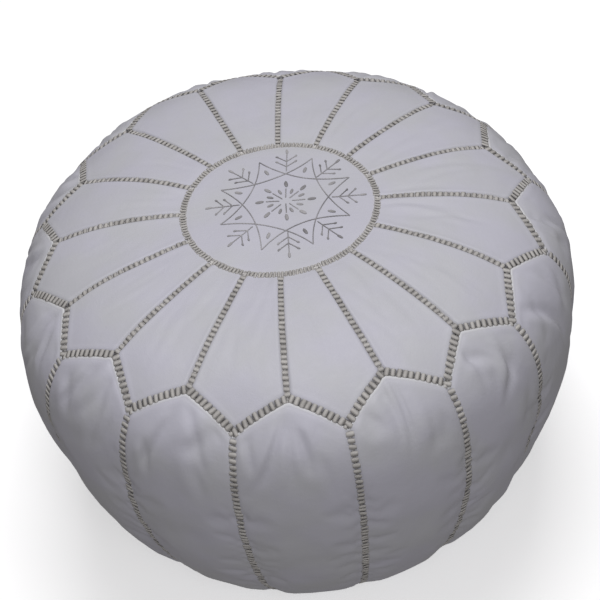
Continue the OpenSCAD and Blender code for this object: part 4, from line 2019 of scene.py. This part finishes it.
@dataclass
class Studio:
    """Floor, lights and camera."""

    distance: float = 1.667
    azimuth: float = 4.5
    elevation: float = 46.05
    roll: float = -7.96
    lens: float = 98.9
    aim_right: float = 4.0 * MM
    aim_up: float = 15.4 * MM
    look_z: float = 0.2
    # Name, place, size and power of each soft light.
    lights: tuple[tuple[str, tuple[float, float, float], float, float], ...] = (
        ("overhead", (0.05, 0.5, 2.3), 1.3, 29.0),
        ("front", (0.3, -1.8, 1.7), 1.2, 15.5),
    )
    surround: str = "f8f5f2"
    surround_strength: float = 0.22
    floor: str = "f4f4f5"
    floor_glow: float = 0.45
    floor_drop: float = 0.2 * MM

    def place_camera(self) -> None:
        """Put up the camera."""
        camera = bpy.data.objects.new("camera", bpy.data.cameras.new("camera"))
        bpy.context.scene.collection.objects.link(camera)
        camera.data.lens = self.lens
        a, e = math.radians(self.azimuth), math.radians(self.elevation)
        back = Vector((math.sin(a) * math.cos(e), -math.cos(a) * math.cos(e), math.sin(e)))
        turn = (-back).to_track_quat("-Z", "Y").to_matrix() @ Matrix.Rotation(math.radians(self.roll), 3, "Z")
        camera.rotation_euler = turn.to_euler()
        aside = turn @ Vector((self.aim_right, self.aim_up, 0))
        camera.location = Vector((0, 0, self.look_z)) + back * self.distance + aside
        bpy.context.scene.camera = camera

    def light(self) -> None:
        """Put up two broad soft lights, above and in front, and an even dim surround."""
        for name, place, size, power in self.lights:
            lamp = bpy.data.objects.new(name, bpy.data.lights.new(name, "AREA"))
            bpy.context.scene.collection.objects.link(lamp)
            lamp.data.size = size
            lamp.data.energy = power
            lamp.location = place
            lamp.rotation_euler = (Vector((0, 0, 0.2)) - Vector(place)).to_track_quat("-Z", "Y").to_euler()
        world = bpy.data.worlds.new("surround")
        bpy.context.scene.world = world
        world.use_nodes = True
        back = world.node_tree.nodes["Background"]
        back.inputs["Color"].default_value = linear(self.surround)
        back.inputs["Strength"].default_value = self.surround_strength
        bpy.context.scene.view_settings.view_transform = "Standard"

    def lay_floor(self) -> None:
        """Lay a plain pale floor that throws little light back and hides nothing from below.

        It lies a hair under the leather, because two faces in one plane show as patches.
        """
        bpy.ops.object.select_all(action="DESELECT")
        bpy.ops.mesh.primitive_plane_add(size=12, location=(0, 0, -self.floor_drop))
        floor = bpy.context.object
        floor.name = "floor"
        floor.visible_diffuse = False
        floor.visible_glossy = False
        material, tree, shader = new_material("plain_pale_floor")
        shader.inputs["Base Color"].default_value = linear(self.floor)
        shader.inputs["Roughness"].default_value = 0.9
        shader.inputs["Emission Color"].default_value = linear(self.floor)
        shader.inputs["Emission Strength"].default_value = self.floor_glow
        output = next(n for n in tree.nodes if n.type == "OUTPUT_MATERIAL")
        geometry = add_node(tree, "ShaderNodeNewGeometry")
        clear = add_node(tree, "ShaderNodeBsdfTransparent")
        mix = add_node(tree, "ShaderNodeMixShader",
                       {0: geometry.outputs["Backfacing"], 1: shader.outputs[0], 2: clear.outputs[0]})
        tree.links.new(mix.outputs[0], output.inputs["Surface"])
        floor.data.materials.append(material)


def main() -> None:
    """Build the pouf piece by piece."""
    logging.basicConfig(level=logging.INFO, format="%(message)s")
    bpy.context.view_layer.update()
    studio = Studio()
    studio.place_camera()
    studio.light()
    studio.lay_floor()
    leather = PaleLeather().build()
    thread = WaxedThread().build()
    # A copy of the thread painted lighter than the rungs, to offset the shade that falls in the groove.
    shade = WaxedThread(name="groove_thread_painted_lighter", light="d0cdcc", dark="c2bfbe").build()
    fine_thread = WaxedThread(
        name="fine_embroidery_thread", light="aaa8ab", dark="828083", drift_mm=20.0).build()
    metal = ZincAlloy().build()

    pattern = Pattern()
    cover = Cover(pattern)
    cover.swell()
    work = Leatherwork(cover)
    work.cut()
    base = Base(pattern)
    base.shape()
    ground = work.ground(base.ground())
    work.dress_panels(leather)
    work.sew(thread, shade, ground)
    Embroidery().build(ground, fine_thread, work.body)
    base.build(leather)
    base.sew(thread, ground)
    Filling(cover).build(CottonWadding().build())
    zipper = Zip()
    zipper.build_tapes(PolyesterTape().build())
    zipper.build_teeth(metal)
    zipper.build_slider(metal)
    zipper.build_pull(metal)


if __name__ == "__main__":
    main()
